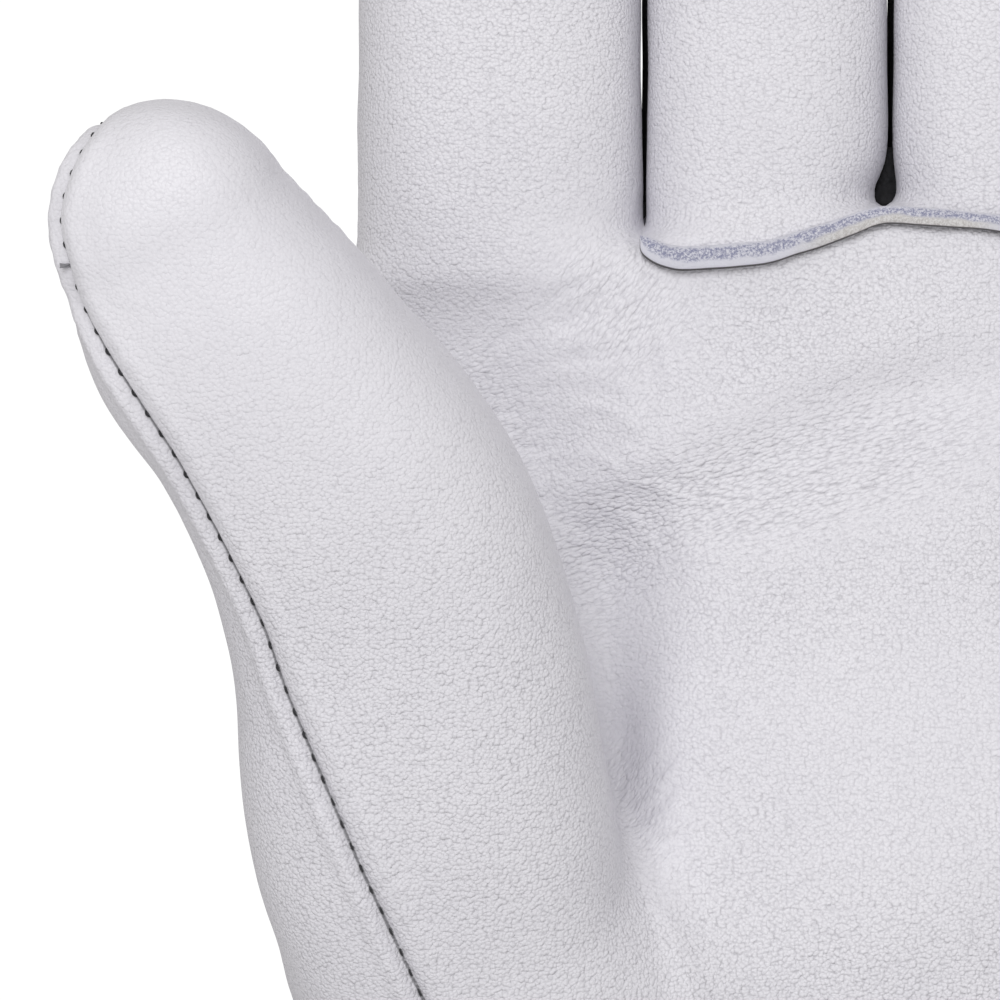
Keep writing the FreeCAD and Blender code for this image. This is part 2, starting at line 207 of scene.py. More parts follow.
def hollow_depth(x, z):
    gap, share = line_distance(x + 0 * z, z + 0 * x, HOLLOW)
    wide = np.where(gap > 0, HOLLOW_WIDE, 3.9 + 3.0 * smoothstep(190, 208, z))
    return HOLLOW_DEEP * np.exp(-((gap / wide) ** 2)) * smoothstep(0.02, 0.3, share) * (1 - 0.8 * share)


def hand_field(x, y, z):
    """Negative inside the palm and back; a rounded top follows the feet of the finger gaps."""
    height = HAND_PROFILE[:, 0]
    centre, half_width, front, back = (np.interp(z, height, HAND_PROFILE[:, i]) for i in range(1, 5))
    front = front - hollow_depth(x, z)
    u = (x - centre) / half_width
    depth = np.where(y < 0, front, back)
    v = y / depth
    section = (np.abs(u) ** HAND_ROUND + np.abs(v) ** HAND_ROUND) ** (1 / HAND_ROUND)
    side = (section - 1) * np.minimum(half_width, depth)
    gaps = sorted(CROTCHES)
    feet = [CROTCHES[gap] for gap in gaps]
    top = np.interp(x, [-60, *gaps, 56], [feet[0] - 3, *feet, feet[-1] - 3])
    return smooth_max(side, z - top, 3.0)


def gap_retreat(x_gap, side, z):
    """How far a finger's side draws back from a gap, near the gap's foot; side 0 is left of the gap."""
    rise = np.maximum(z - CROTCHES[x_gap], 0) / GAP_RISE
    return GAP_WIDE[x_gap][side] * np.exp(-(rise**2))


def finger_field(name, x, y, z, hollow):
    """Negative inside one finger: a tapered tube with slight swellings and a blunt domed tip."""
    centre, half_width, half_depth, tip = FINGERS[name]
    dome = half_width * 1.02
    shoulder = tip - dome
    span = np.clip((z - 236.0) / (shoulder - 236.0), 0, 1)
    swell = 1 - 0.085 * span**2.3
    right = centre + half_width * swell
    left = centre - half_width * swell
    for gap in CROTCHES:
        back = SLIT[gap] + (1 - swell) * half_width
        if abs(centre + half_width - gap) < 2:
            right = gap - back - gap_retreat(gap, 0, z)
        if abs(centre - half_width - gap) < 2:
            left = gap + back + gap_retreat(gap, 1, z)
    u = (x - (left + right) / 2) / ((right - left) / 2)
    lean = -0.6 * span - 1.4 * smoothstep(0.45, 1.0, span)
    deep = half_depth * swell * (1 + 0.02 * np.sin(span * 3.1 * math.pi))
    v = (y - lean) / (deep - np.where(y < lean, hollow, 0))
    w = np.maximum(z - shoulder, 0) / dome
    ring = (np.abs(u) ** FINGER_ROUND + np.abs(v) ** FINGER_ROUND) ** (1 / FINGER_ROUND)
    radius = (ring**2.15 + w**2.15) ** (1 / 2.15)
    return (radius - 1) * half_depth * swell + 0.7 * np.maximum(236 - z, 0)


def thumb_samples():
    """Points along the thumb with their frames and sizes."""
    path = curve(THUMB_PATH, 120)
    along = np.gradient(path[:, :3], axis=0)
    along /= np.linalg.norm(along, axis=1)[:, None]
    across = THUMB_ACROSS - (along @ THUMB_ACROSS)[:, None] * along
    across /= np.linalg.norm(across, axis=1)[:, None]
    return path, along, across, np.cross(along, across)


def thumb_field(points):
    """Negative inside the thumb: an oval tube along a bent path, closed by a dome."""
    path, along, across, outward = thumb_samples()
    result = np.empty(len(points), np.float32)
    reach = (path[:, :3] ** 2).sum(1).astype(np.float32)
    for start in range(0, len(points), 100_000):
        part = points[start : start + 100_000]
        nearest = (reach - 2 * part.astype(np.float32) @ path[:, :3].T.astype(np.float32)).argmin(1)
        rel = part - path[nearest, :3]
        forward = (rel * along[nearest]).sum(1)
        u = ((rel * across[nearest]).sum(1)) / path[nearest, 3]
        v = ((rel * outward[nearest]).sum(1)) / path[nearest, 4]
        w = np.where(nearest == len(path) - 1, np.maximum(forward, 0) / THUMB_TIP_HEIGHT, 0)
        ring = (np.abs(u) ** THUMB_ROUND + np.abs(v) ** THUMB_ROUND) ** (1 / THUMB_ROUND)
        radius = (ring**2.0 + w**2.0) ** 0.5
        result[start : start + 100_000] = (radius - 1) * path[nearest, 4]
    return result


# ---------------------------------------------------------------- folds of the worn leather


PALM_RIDGE = [(-36, 211), (-27, 217), (-16, 223), (-2, 229), (14, 233)]
PALM_CREASE = [(-30, 206), (-18, 214.5), (-6, 221), (8, 226), (24, 228)]
HEEL_FOLD = [(-40, 160), (-22, 166), (0, 171), (24, 176)]


def palm_folds(points):
    """Outward shift of the palm's front surface, in millimetres."""
    x, z = points[:, 0], points[:, 2]
    ridge, along = line_distance(x, z, PALM_RIDGE)
    shift = (
        0.9 * np.exp(-((ridge / 4.2) ** 2)) * smoothstep(0, 0.15, along) * (1 - smoothstep(0.75, 1, along))
    )
    crease, along = line_distance(x, z, PALM_CREASE)
    shift -= 1.0 * np.exp(-((crease / 4.5) ** 2)) * (1 - smoothstep(0.6, 1, along))
    heel, along = line_distance(x, z, HEEL_FOLD)
    shift += 0.8 * np.exp(-((heel / 9) ** 2))
    return shift


# ---------------------------------------------------------------- meshing


def stretch_table():
    """X as a function of grid X: the grid is eight times finer inside the narrow finger gaps."""
    x = np.arange(-92, 58, 0.05)
    rate = np.ones_like(x)
    for gap in CROTCHES:
        rate += 7 * np.exp(-(((x - gap) / 0.9) ** 2))
    grid_x = np.concatenate([[0], np.cumsum((rate[1:] + rate[:-1]) / 2 * 0.05)])
    return grid_x, x


GRID_X, TABLE_X = stretch_table()
STEPS = np.arange(GRID_X[0], GRID_X[-1], VOXEL)
XS = np.interp(STEPS, GRID_X, TABLE_X).astype(np.float32)
YS = np.arange(-62, 42, VOXEL, dtype=np.float32)
ZS = np.arange(106, 336, VOXEL, dtype=np.float32)
THUMB_BOX = (np.searchsorted(XS, -2), np.searchsorted(YS, 16), *np.searchsorted(ZS, (122, 262)))


def wavy(x, y):
    """X shifted so that the touching sides of two fingers interlock and no light comes between them."""
    shift = 0
    for gap in CROTCHES:
        near = np.exp(-(((x - gap) / 2.5) ** 2)) * np.exp(-((y / 5.0) ** 2))
        shift = shift + near * np.sin(y / 1.5 + 0.4)
    return x + GAP_WAVE * shift


def surface(field, first_k=0):
    """Vertices and triangles of a field's zero surface; the field starts at the grid's first X and Y."""
    grid = openvdb.FloatGrid(background=5.0)
    grid.copyFromArray(np.ascontiguousarray(np.clip(field, -5, 5), dtype=np.float32))
    points, quads = grid.convertToQuads(isovalue=0.0)
    verts = np.stack(
        [
            np.interp(points[:, 0] * VOXEL + GRID_X[0], GRID_X, TABLE_X),
            points[:, 1] * VOXEL + YS[0],
            points[:, 2] * VOXEL + ZS[first_k],
        ],
        1,
    )
    tris = np.vstack([quads[:, [0, 1, 2]], quads[:, [0, 2, 3]]]).astype(int)
    return relax(verts, tris, 3), tris


def skin_fields():
    """The field of the whole skin; and, around the thumb, the palm's own and the thumb's own."""
    field = np.full((len(XS), len(YS), len(ZS)), FAR_OUT, np.float32)
    top = np.searchsorted(ZS, 270)
    x, y, z = np.meshgrid(XS, YS, ZS[:top], indexing="ij", sparse=True)
    field[:, :, :top] = hand_field(x, y, z)
    low = np.searchsorted(ZS, 222)
    palm = field[:, :, low:].copy()
    x, y, z = np.meshgrid(XS, YS, ZS[low:], indexing="ij", sparse=True)
    hollow = hollow_depth(x, z)
    x = wavy(x, y)
    for name in FINGER_NAMES:
        one = smooth_min(palm, finger_field(name, x, y, z, hollow), KNUCKLE_BLEND)
        field[:, :, low:] = np.minimum(field[:, :, low:], one)
    i, j, k, m = THUMB_BOX
    x, y, z = np.meshgrid(XS[:i], YS[:j], ZS[k:m], indexing="ij")
    thumb = thumb_field(np.stack([x.ravel(), y.ravel(), z.ravel()], 1)).reshape(x.shape)
    thumb = thumb + 12 * (1 - smoothstep(122, 150, z))
    hand = field[:i, :j, k:m].copy()
    share = hand - thumb
    soft = WEB_BLEND[0] + (WEB_BLEND[1] - WEB_BLEND[0]) * smoothstep(165, 186, z)
    under_thumb = smooth_min(hand, thumb + 1.35 * np.maximum(share, 0), soft)
    under_palm = smooth_min(thumb, hand + 1.35 * np.maximum(-share, 0), soft)
    field[:i, :j, k:m] = smooth_min(hand, thumb, soft)
    return field, under_thumb, under_palm


def vertex_normals(verts, tris):
    a, b, c = verts[tris[:, 0]], verts[tris[:, 1]], verts[tris[:, 2]]
    face = np.cross(b - a, c - a)
    normals = np.zeros_like(verts)
    for axis in range(3):
        for corner in range(3):
            normals[:, axis] += np.bincount(tris[:, corner], face[:, axis], len(verts))
    return normals / np.maximum(np.linalg.norm(normals, axis=1)[:, None], 1e-12)


def relax(verts, tris, rounds):
    """Takes the grid's steps out of a mesh without shrinking it (Taubin's two-step smoothing)."""
    ends = np.vstack([tris[:, [0, 1]], tris[:, [1, 2]], tris[:, [2, 0]]])
    count = np.bincount(ends.ravel(), minlength=len(verts))[:, None]
    for factor in (0.5, -0.52) * rounds:
        total = np.zeros_like(verts)
        for axis in range(3):
            total[:, axis] = np.bincount(ends[:, 0], verts[ends[:, 1], axis], len(verts))
            total[:, axis] += np.bincount(ends[:, 1], verts[ends[:, 0], axis], len(verts))
        verts = verts + factor * (total / count - verts)
    return verts


class Skin:
    """A triangle mesh that can be cut along the zero lines of functions of position."""

    def __init__(self, verts, tris):
        self.verts = verts
        self.tris = tris
        self.zone = np.zeros(len(tris), int)
        self.panel = np.zeros(len(tris), int)

    def edges(self):
        """Each edge once, and for every triangle its three edges' places in that list."""
        pairs = np.stack([self.tris, np.roll(self.tris, -1, axis=1)], 2).reshape(-1, 2)
        pairs.sort(axis=1)
        keys, inverse = np.unique(pairs[:, 0] * len(self.verts) + pairs[:, 1], return_inverse=True)
        edges = np.stack([keys // len(self.verts), keys % len(self.verts)], 1)
        return edges, inverse.reshape(-1, 3)

    def split(self, marked, share, edges, of_tri):
        """Divides each marked edge at its share of the way, and the triangles beside it to match."""
        new = np.full(len(edges), -1)
        new[marked] = len(self.verts) + np.arange(marked.sum())
        a, b = self.verts[edges[marked, 0]], self.verts[edges[marked, 1]]
        t = share[marked][:, None]
        self.verts = np.vstack([self.verts, a * (1 - t) + b * t])
        mid = new[of_tri]
        count = (mid >= 0).sum(1)
        tris, zones, panels = [self.tris[count == 0]], [self.zone[count == 0]], [self.panel[count == 0]]

        def add(rows, *corners):
            for triple in corners:
                tris.append(np.stack(triple, 1))
                zones.append(self.zone[rows])
                panels.append(self.panel[rows])

        for turn in range(3):
            c = np.roll(self.tris, -turn, axis=1)
            m = np.roll(mid, -turn, axis=1)
            rows = np.where((count == 1) & (m[:, 0] >= 0))[0]
            c0, c1, c2, m0 = c[rows, 0], c[rows, 1], c[rows, 2], m[rows, 0]
            add(rows, (c0, m0, c2), (m0, c1, c2))
            rows = np.where((count == 2) & (m[:, 1] < 0))[0]
            c0, c1, c2, m0, m2 = c[rows, 0], c[rows, 1], c[rows, 2], m[rows, 0], m[rows, 2]
            add(rows, (c0, m0, m2), (m0, c1, c2), (m0, c2, m2))
        rows = np.where(count == 3)[0]
        c0, c1, c2 = self.tris[rows].T
        m0, m1, m2 = mid[rows].T
        add(rows, (c0, m0, m2), (m0, c1, m1), (m2, m1, c2), (m0, m1, m2))
        self.tris, self.zone, self.panel = np.vstack(tris), np.concatenate(zones), np.concatenate(panels)

    def cut(self, function, snap=0.18):
        """Makes the zero line of a function of position into edges of the mesh."""
        edges, _ = self.edges()
        value = function(self.verts)
        a, b = value[edges[:, 0]], value[edges[:, 1]]
        crossing = a * b < 0
        t = np.where(crossing, a / np.where(crossing, a - b, 1), 0.5)
        for end, near in ((0, crossing & (t < snap)), (1, crossing & (t > 1 - snap))):
            vertex = edges[near, end]
            other = edges[near, 1 - end]
            step = t[near] if end == 0 else 1 - t[near]
            self.verts[vertex] += step[:, None] * (self.verts[other] - self.verts[vertex])
            value[vertex] = 0.0
        a, b = value[edges[:, 0]], value[edges[:, 1]]
        crossing = a * b < 0
        t = np.where(crossing, a / np.where(crossing, a - b, 1), 0.5)
        edges, of_tri = self.edges()
        self.split(crossing, t, edges, of_tri)

    def middles(self):
        return self.verts[self.tris].mean(1)

    def keep(self, rows):
        self.tris, self.zone, self.panel = self.tris[rows], self.zone[rows], self.panel[rows]

    def refine(self, near, longest):
        """Halves the long edges whose two ends are both near something."""
        edges, of_tri = self.edges()
        length = np.linalg.norm(self.verts[edges[:, 0]] - self.verts[edges[:, 1]], axis=1)
        marked = near[edges[:, 0]] & near[edges[:, 1]] & (length > longest)
        self.split(marked, np.full(len(edges), 0.5), edges, of_tri)


# ---------------------------------------------------------------- seams and bends

FRONT, BACK, SIDE = 0, 1, 2
HAND = 0
ZONES = ["hand"] + [name + "_" + part for name in (*FINGER_NAMES, "thumb") for part in ("low", "tip")]
GAPS = sorted(CROTCHES)
BEND_START = 241.0  # height where the fingers' bends begin
FOURCHETTE_FRONT, FOURCHETTE_BACK = 2.0, 4.4  # how far a fourchette reaches to either side
INDEX_LEFT = -53.6
BEFORE_FINGERS = -20.0  # the thumb is wholly in front of this at the height of the fingers
THUMB_SIDE_SEAM = 4.0  # how far behind the thumb's middle surface its inner seam lies
WRIST = 115.0

# X and height of the seam down the thumb's outer side and across the heel of the hand
THUMB_SEAM = [
    (-62, 262), (-70, 255.5), (-75.7, 251.4), (-77.9, 248.8), (-79.5, 246.0), (-80.6, 242.4),
    (-80.7, 240.0), (-80.3, 238.0), (-78.9, 233.2), (-76.9, 229.1), (-74.5, 225.2), (-72.0, 221.4),
    (-69.2, 216.9), (-64.8, 208.6), (-61.6, 201.8), (-59.3, 195.4), (-56.7, 189.2), (-53.8, 182.4),
    (-51.1, 176.3), (-47.5, 168.6), (-44.6, 162.0), (-40, 150), (-37, 134), (-35.5, 112),
]
# X and height of the seam across the base of the middle and ring fingers
BASE_SEAM = np.array(
    [
        (-24.6, 240.6), (-22.8, 238.9), (-20.0, 238.3), (-12.5, 238.9), (-8.5, 239.8),
        (-3.5, 241.7), (0.0, 242.7), (4.0, 242.8), (11.5, 242.1), (18.0, 241.0), (24.2, 239.6),
    ]
)


def finger_at(x):
    return np.digitize(x, GAPS)


def base_height(p):
    """Height of the line where the fingers begin: the base seam in front, a level line elsewhere."""
    seam = np.interp(p[:, 0], BASE_SEAM[:, 0], BASE_SEAM[:, 1])
    inside = (p[:, 0] > BASE_SEAM[0, 0]) & (p[:, 0] < BASE_SEAM[-1, 0])
    share = np.where(inside, 1 - smoothstep(-8, -5, p[:, 1]), 0)
    return BEND_START + (seam - BEND_START) * share


def low_middle_height(x):
    """Height on each finger halfway between its two bends."""
    heights = []
    for name in FINGER_NAMES:
        low, high = box_mm(name + "_front_low")
        heights.append((low[2] + high[2]) / 2)
    return np.array(heights)[finger_at(x)]


THUMB_ROOT = pivot_mm("thumb_base_swing")
THUMB_KNUCKLE = pivot_mm("thumb_tip_bend")
THUMB_ALONG = (THUMB_KNUCKLE - THUMB_ROOT) / np.linalg.norm(THUMB_KNUCKLE - THUMB_ROOT)
THUMB_BEND_START = -3.0  # along the thumb from its root pivot
THUMB_LOW_MIDDLE = 15.5


def thumb_share(p):
    """Positive on the thumb, negative on the palm."""
    return hand_field(p[:, 0], p[:, 1], p[:, 2]) - thumb_field(p)


def on_thumb(p):
    result = np.full(len(p), -9.0)
    near = (p[:, 0] < -15) & (p[:, 1] < 12) & (p[:, 2] > 150) & (p[:, 2] < 262)
    along = (p[near] - THUMB_ROOT) @ THUMB_ALONG - THUMB_BEND_START
    result[near] = np.minimum(thumb_share(p[near]), along)
    return result


def thumb_place(p):
    """Distance behind the thumb's own middle surface, and the share of its half width to the right."""
    path, _, across, outward = thumb_samples()
    nearest = (((path[:, :3] ** 2).sum(1)) - 2 * p @ path[:, :3].T).argmin(1)
    rel = p - path[nearest, :3]
    return (rel * outward[nearest]).sum(1), (rel * across[nearest]).sum(1) / path[nearest, 3]


def fourchette_share(p):
    """The fourchette's width on this side of a finger as a share of its full width, 0 on the outer sides."""
    x, z = p[:, 0], p[:, 2]
    finger = finger_at(x)
    centres = np.array([FINGERS[name][0] for name in FINGER_NAMES])[finger]
    tips = np.array([FINGERS[name][3] for name in FINGER_NAMES])[finger]
    outer = ((finger == 0) & (x < centres)) | ((finger == 3) & (x > centres))
    point = np.sqrt(np.clip((tips - 9 - z) / 50, 0, 1))
    foot = smoothstep(-4, 1, z - 241)
    return np.where(outer, 0, point * foot)


def in_front(p):
    """Positive on the palm side of every seam."""
    x, y, z = p.T
    fingers = -(y + FOURCHETTE_FRONT * fourchette_share(p))
    seam, _ = line_distance(x, z, THUMB_SEAM)
    result = np.where(z > 236, fingers, -y)
    near = np.where((x < -20) & (y < 14) & (z < 262) & ((y < BEFORE_FINGERS) | (z < 236)))[0]
    q = p[near]
    share = smoothstep(-3, 3, thumb_share(q))
    depth, right = thumb_place(q)
    web = smoothstep(-0.3, 0.6, right) * (1 - smoothstep(200, 256, q[:, 2]))
    behind = -q[:, 1] * (1 - share) + (THUMB_SIDE_SEAM - depth + 24 * web) * share
    left_of_hand = np.where(q[:, 1] < 6, seam[near], 9)
    left_of_hand = np.where((share < 0.5) & (q[:, 2] > 200), 9, left_of_hand)
    result[near] = np.minimum(behind, left_of_hand)
    return result


def behind_fourchettes(p):
    """Positive on the back of the fingers, beyond their fourchettes; elsewhere it follows in_front."""
    finger = (p[:, 2] > 236) & (p[:, 1] > BEFORE_FINGERS)
    return np.where(finger, p[:, 1] - FOURCHETTE_BACK * fourchette_share(p), -in_front(p))


def leather_relief(verts, normals):
    """Outward shift of the leather: palm folds, soft lumps, joint wrinkles and puckers at the wrist."""
    x, y, z = verts.T
    front = smoothstep(0.25, 0.7, -normals[:, 1])
    behind = smoothstep(0.25, 0.7, normals[:, 1])
    off_thumb = np.ones(len(verts))
    near = x < -15
    off_thumb[near] = 1 - smoothstep(-1, 3, thumb_share(verts[near]))
    in_palm = front * off_thumb * smoothstep(145, 160, z) * (1 - smoothstep(236, 242, z))
    shift = palm_folds(verts) * in_palm
    shift += 0.3 * lattice_noise(verts, 17.0, 1) + 0.12 * lattice_noise(verts, 6.0, 2)
    for name in FINGER_NAMES:
        joint = pivot_mm(name + "_tip_bend")[2]
        centre, half, _, _ = FINGERS[name]
        on_finger = 1 - smoothstep(half - 1, half + 1, np.abs(x - centre))
        base = z - pivot_mm(name + "_base_bend")[2] - 2
        knuckle = sum(np.exp(-(((base - step) / 1.3) ** 2)) for step in (-4.0, 0.0, 4.2))
        shift -= 0.3 * behind * knuckle * on_finger * (1 - smoothstep(half - 6, half - 1, np.abs(x - centre)))
        bow = z - joint - 0.9 * np.cos((x - centre) / half * 1.3)
        wrinkles = sum(np.exp(-(((bow - step) / 0.9) ** 2)) for step in (-2.6, 0.2, 3.1))
        shift -= (0.14 + 0.22 * front + 0.3 * behind) * wrinkles * on_finger
    around = np.arctan2(y, x)
    pucker = np.sin(around * 34 + 2.0 * lattice_noise(verts, 9.0, 3))
    shift += 0.3 * pucker * np.exp(-((z - 115) / 5.0))
    return shift


# centre X and height, first and last radius, middle direction and spread of the direction in turns,
# strength, wrinkles per radian
WRINKLE_FANS = [
    (-50.0, 222.0, 6, 44, 0.015, 0.16, 0.19, 9.5), (-24.3, 239.5, 1, 20, -0.33, 0.15, 0.2, 5.0),
    (-28.5, 180.0, 1, 15, 0.14, 0.2, 0.2, 5.0), (-28.5, 180.0, 2, 18, -0.22, 0.14, 0.16, 4.5),
    (1.0, 241.0, 3, 16, -0.25, 0.2, 0.1, 5.0),
]


def wrinkle_relief(verts):
    """Fine wrinkles that fan out where the leather is gathered: at the thumb's crotch and finger bases."""
    x, y, z = verts.T
    shift = np.zeros(len(verts))
    for number, (at_x, at_z, first, last, turn, spread, strength, count) in enumerate(WRINKLE_FANS):
        radius = np.hypot(x - at_x, z - at_z)
        angle = np.arctan2(z - at_z, x - at_x) / (2 * math.pi) - turn
        angle = (angle + 0.5) % 1 - 0.5
        mask = smoothstep(first - 4, first + 4, radius) * (1 - smoothstep(last * 0.55, last, radius))
        mask = mask * (1 - smoothstep(spread * 0.5, spread, np.abs(angle))) * strength
        rows = np.where(mask > 0.004)[0]
        along = np.stack([angle[rows] * 2 * math.pi * count, radius[rows] / 7.0, y[rows] / 7], 1)
        along[:, 0] += 0.9 * lattice_noise(verts[rows], 5.0, 50 + number)
        wave = lattice_noise(along, 1.0, 60 + number) + 0.4 * lattice_noise(
            along * (1.6, 1.3, 1), 1.0, 70 + number
        )
        shift[rows] += mask[rows] * (np.abs(wave) * -1.6 + 0.5)
    return shift


def crumple(skin):
    """Adds the fine wrinkles to the palm, on a mesh made fine enough to hold them."""
    x, y, z = skin.verts.T
    palm = np.zeros(len(skin.verts), bool)
    palm[skin.tris[(skin.panel == FRONT) & (skin.zone < ZONES.index("middle_low"))].ravel()] = True
    region = palm & (x > -53) & (x < 22) & (z > 160) & (z < 262) & (y < -3)
    skin.refine(region, 0.6)
    normals = vertex_normals(skin.verts, skin.tris)
    palm = np.zeros(len(skin.verts), bool)
    palm[skin.tris[(skin.panel == FRONT) & (skin.zone < ZONES.index("middle_low"))].ravel()] = True
    off_thumb = 1 - smoothstep(-2, 3, thumb_share(skin.verts))
    facing = smoothstep(0.0, 0.5, -normals[:, 1]) * palm * off_thumb
    skin.verts = skin.verts + normals * (wrinkle_relief(skin.verts) * facing)[:, None]


def build_skin():
    field, under_thumb, under_palm = skin_fields()
    verts, tris = surface(field)
    normals = vertex_normals(verts, tris)
    verts = verts + normals * leather_relief(verts, normals)[:, None]
    skin = Skin(verts, tris)
    skin.cut(lambda p: p[:, 2] - WRIST)
    skin.keep(skin.middles()[:, 2] > WRIST)
    cut_thumb(skin)
    skin.cut(lambda p: np.where(thumb_free(p), -9, p[:, 2] - base_height(p)))
    skin.cut(lambda p: np.where(thumb_free(p), -9, p[:, 2] - low_middle_height(p[:, 0])))
    skin.cut(in_front)
    skin.cut(behind_fourchettes)
    label(skin)
    crumple(skin)
    palm_flap = Skin(*surface(under_thumb, THUMB_BOX[2]))
    cut_thumb(palm_flap)
    palm_flap.keep(on_thumb(palm_flap.middles()) > 0)
    thumb_flap = Skin(*surface(under_palm, THUMB_BOX[2]))
    cut_thumb(thumb_flap)
    middles = thumb_flap.middles()
    share = thumb_share(middles)
    above = (middles - THUMB_ROOT) @ THUMB_ALONG > THUMB_BEND_START
    thumb_flap.keep((share < 0) & (share > -15) & above)
    return skin, palm_flap, thumb_flap


def cut_thumb(skin):
    """Cuts a skin along the thumb's outline and across the middle of the thumb's lower part."""
    skin.cut(on_thumb)
    skin.cut(lambda p: np.where(near_thumb(p), (p - THUMB_ROOT) @ THUMB_ALONG - THUMB_LOW_MIDDLE, -9))


def near_thumb(p):
    return (p[:, 0] < -15) & (p[:, 1] < 12) & (p[:, 2] > 150) & (p[:, 2] < 262) & (on_thumb(p) > -16)


def thumb_free(p):
    return (p[:, 2] < 262) & (on_thumb(p) > 0)


def label(skin):
    """Names each triangle's body zone and panel from its middle."""
    m = skin.middles()
    thumb = on_thumb(m) > 0
    along = (m - THUMB_ROOT) @ THUMB_ALONG
    finger = ~thumb & (m[:, 2] > base_height(m))
    high = m[:, 2] > low_middle_height(m[:, 0])
    zone = np.where(finger, 1 + 2 * finger_at(m[:, 0]) + high, HAND)
    thumb_zone = ZONES.index("thumb_low") + (along > THUMB_LOW_MIDDLE)
    skin.zone = np.where(thumb, thumb_zone, zone)
    front, back = in_front(m) > 0, behind_fourchettes(m) > 0
    skin.panel = np.where(front, FRONT, np.where(back, BACK, SIDE))


# ---------------------------------------------------------------- sewing

STITCH_PITCH = 2.4


def seam_edges(skin):
    """For each kind of seam, the edges along it: side, front_fourchette, back_fourchette, base."""
    edges, of_tri = skin.edges()
    flat = of_tri.ravel()
    order = np.argsort(flat, kind="stable")
    tri = order // 3
    same = flat[order[1:]] == flat[order[:-1]]
    one, two, edge = tri[:-1][same], tri[1:][same], edges[flat[order[:-1]][same]]
    low = np.minimum(skin.panel[one], skin.panel[two])
    high = np.maximum(skin.panel[one], skin.panel[two])
    bases = [ZONES.index("middle_low"), ZONES.index("ring_low")]
    hand_to_finger = (skin.zone[one] == HAND) & np.isin(skin.zone[two], bases)
    finger_to_hand = (skin.zone[two] == HAND) & np.isin(skin.zone[one], bases)
    return {
        "side": edge[(low == FRONT) & (high == BACK)],
        "front_fourchette": edge[(low == FRONT) & (high == SIDE)],
        "back_fourchette": edge[(low == BACK) & (high == SIDE)],
        "base": edge[(hand_to_finger | finger_to_hand) & (low == FRONT) & (high == FRONT)],
    }


def chains(edges):
    """Joins edges end to end into lines of vertex numbers."""
    beside = {}
    for a, b in edges.tolist():
        beside.setdefault(a, []).append(b)
        beside.setdefault(b, []).append(a)
    lines = []
    for start in sorted(beside, key=lambda v: len(beside[v]) == 2):
        while beside[start]:
            line = [start]
            while beside[line[-1]]:
                following = beside[line[-1]].pop()
                beside[following].remove(line[-1])
                line.append(following)
            lines.append(line)
    return lines


def resample(points, pitch):
    """Points at one pitch along a line, and the place of each in the line's own numbering."""
    run = np.concatenate([[0], np.cumsum(np.linalg.norm(np.diff(points, axis=0), axis=1))])
    at = np.arange(pitch / 2, run[-1], pitch)
    place = np.interp(at, run, np.arange(len(points)))
    return np.stack([np.interp(at, run, points[:, i]) for i in range(3)], 1), place


def smoothed(points, rounds=3):
    points = points.copy()
    for _ in range(rounds):
        points[1:-1] = (points[:-2] + 2 * points[1:-1] + points[2:]) / 4
    return points


# depth of the groove and its half width; then height, distance and width of the roll on each side
SEAM_SHAPES = {
    "side": ((0.6, 0.55), (0.4, 2.3, 1.15), (0.42, 1.6, 0.8)),
    "front_fourchette": ((0.12, 0.4), (0.05, 1.2, 0.6), (0.0, 1.0, 0.6)),
    "back_fourchette": ((0.4, 0.5), (0.12, 1.3, 0.6), (0.05, 1.0, 0.6)),
    "base": ((0.5, 0.8), (0.15, 2.4, 0.9), (0.0, 2.0, 1.0)),
}


def seam_tree(lines):
    """A search tree over all the seams' points, with each point's kind and its run along its seam."""
    points, kinds, runs = [], [], []
    for number, kind in enumerate(lines):
        for line in lines[kind]:
            dense, _ = resample(line, 0.25)
            points.append(dense)
            kinds += [number] * len(dense)
            runs += [0.25 * i for i in range(len(dense))]
    points = np.vstack(points)
    tree = KDTree(len(points))
    for i, point in enumerate(points):
        tree.insert(point, i)
    tree.balance()
    return tree, points, np.array(kinds), np.array(runs)


def near_seams(verts, points, cell=4.0):
    """Which vertices lie in or beside a cell of space that a seam runs through."""
    low = verts.min(0) - 2 * cell
    size = ((verts.max(0) - low) / cell).astype(int) + 4
    filled = np.zeros(size, bool)
    i = ((points - low) / cell).astype(int)
    for dx in (-1, 0, 1):
        for dy in (-1, 0, 1):
            for dz in (-1, 0, 1):
                filled[i[:, 0] + dx, i[:, 1] + dy, i[:, 2] + dz] = True
    j = ((verts - low) / cell).astype(int)
    return filled[j[:, 0], j[:, 1], j[:, 2]]


def seam_distances(verts, seams):
    """Distance to the nearest seam, its kind and the run along it; far from seams the distance is 99."""
    tree, points, kinds, runs = seams
    distance, kind, run = np.full(len(verts), 99.0), np.zeros(len(verts), int), np.zeros(len(verts))
    for i in np.where(near_seams(verts, points))[0]:
        _, index, gap = tree.find(verts[i])
        distance[i], kind[i], run[i] = gap, kinds[index], runs[index]
    return distance, kind, run


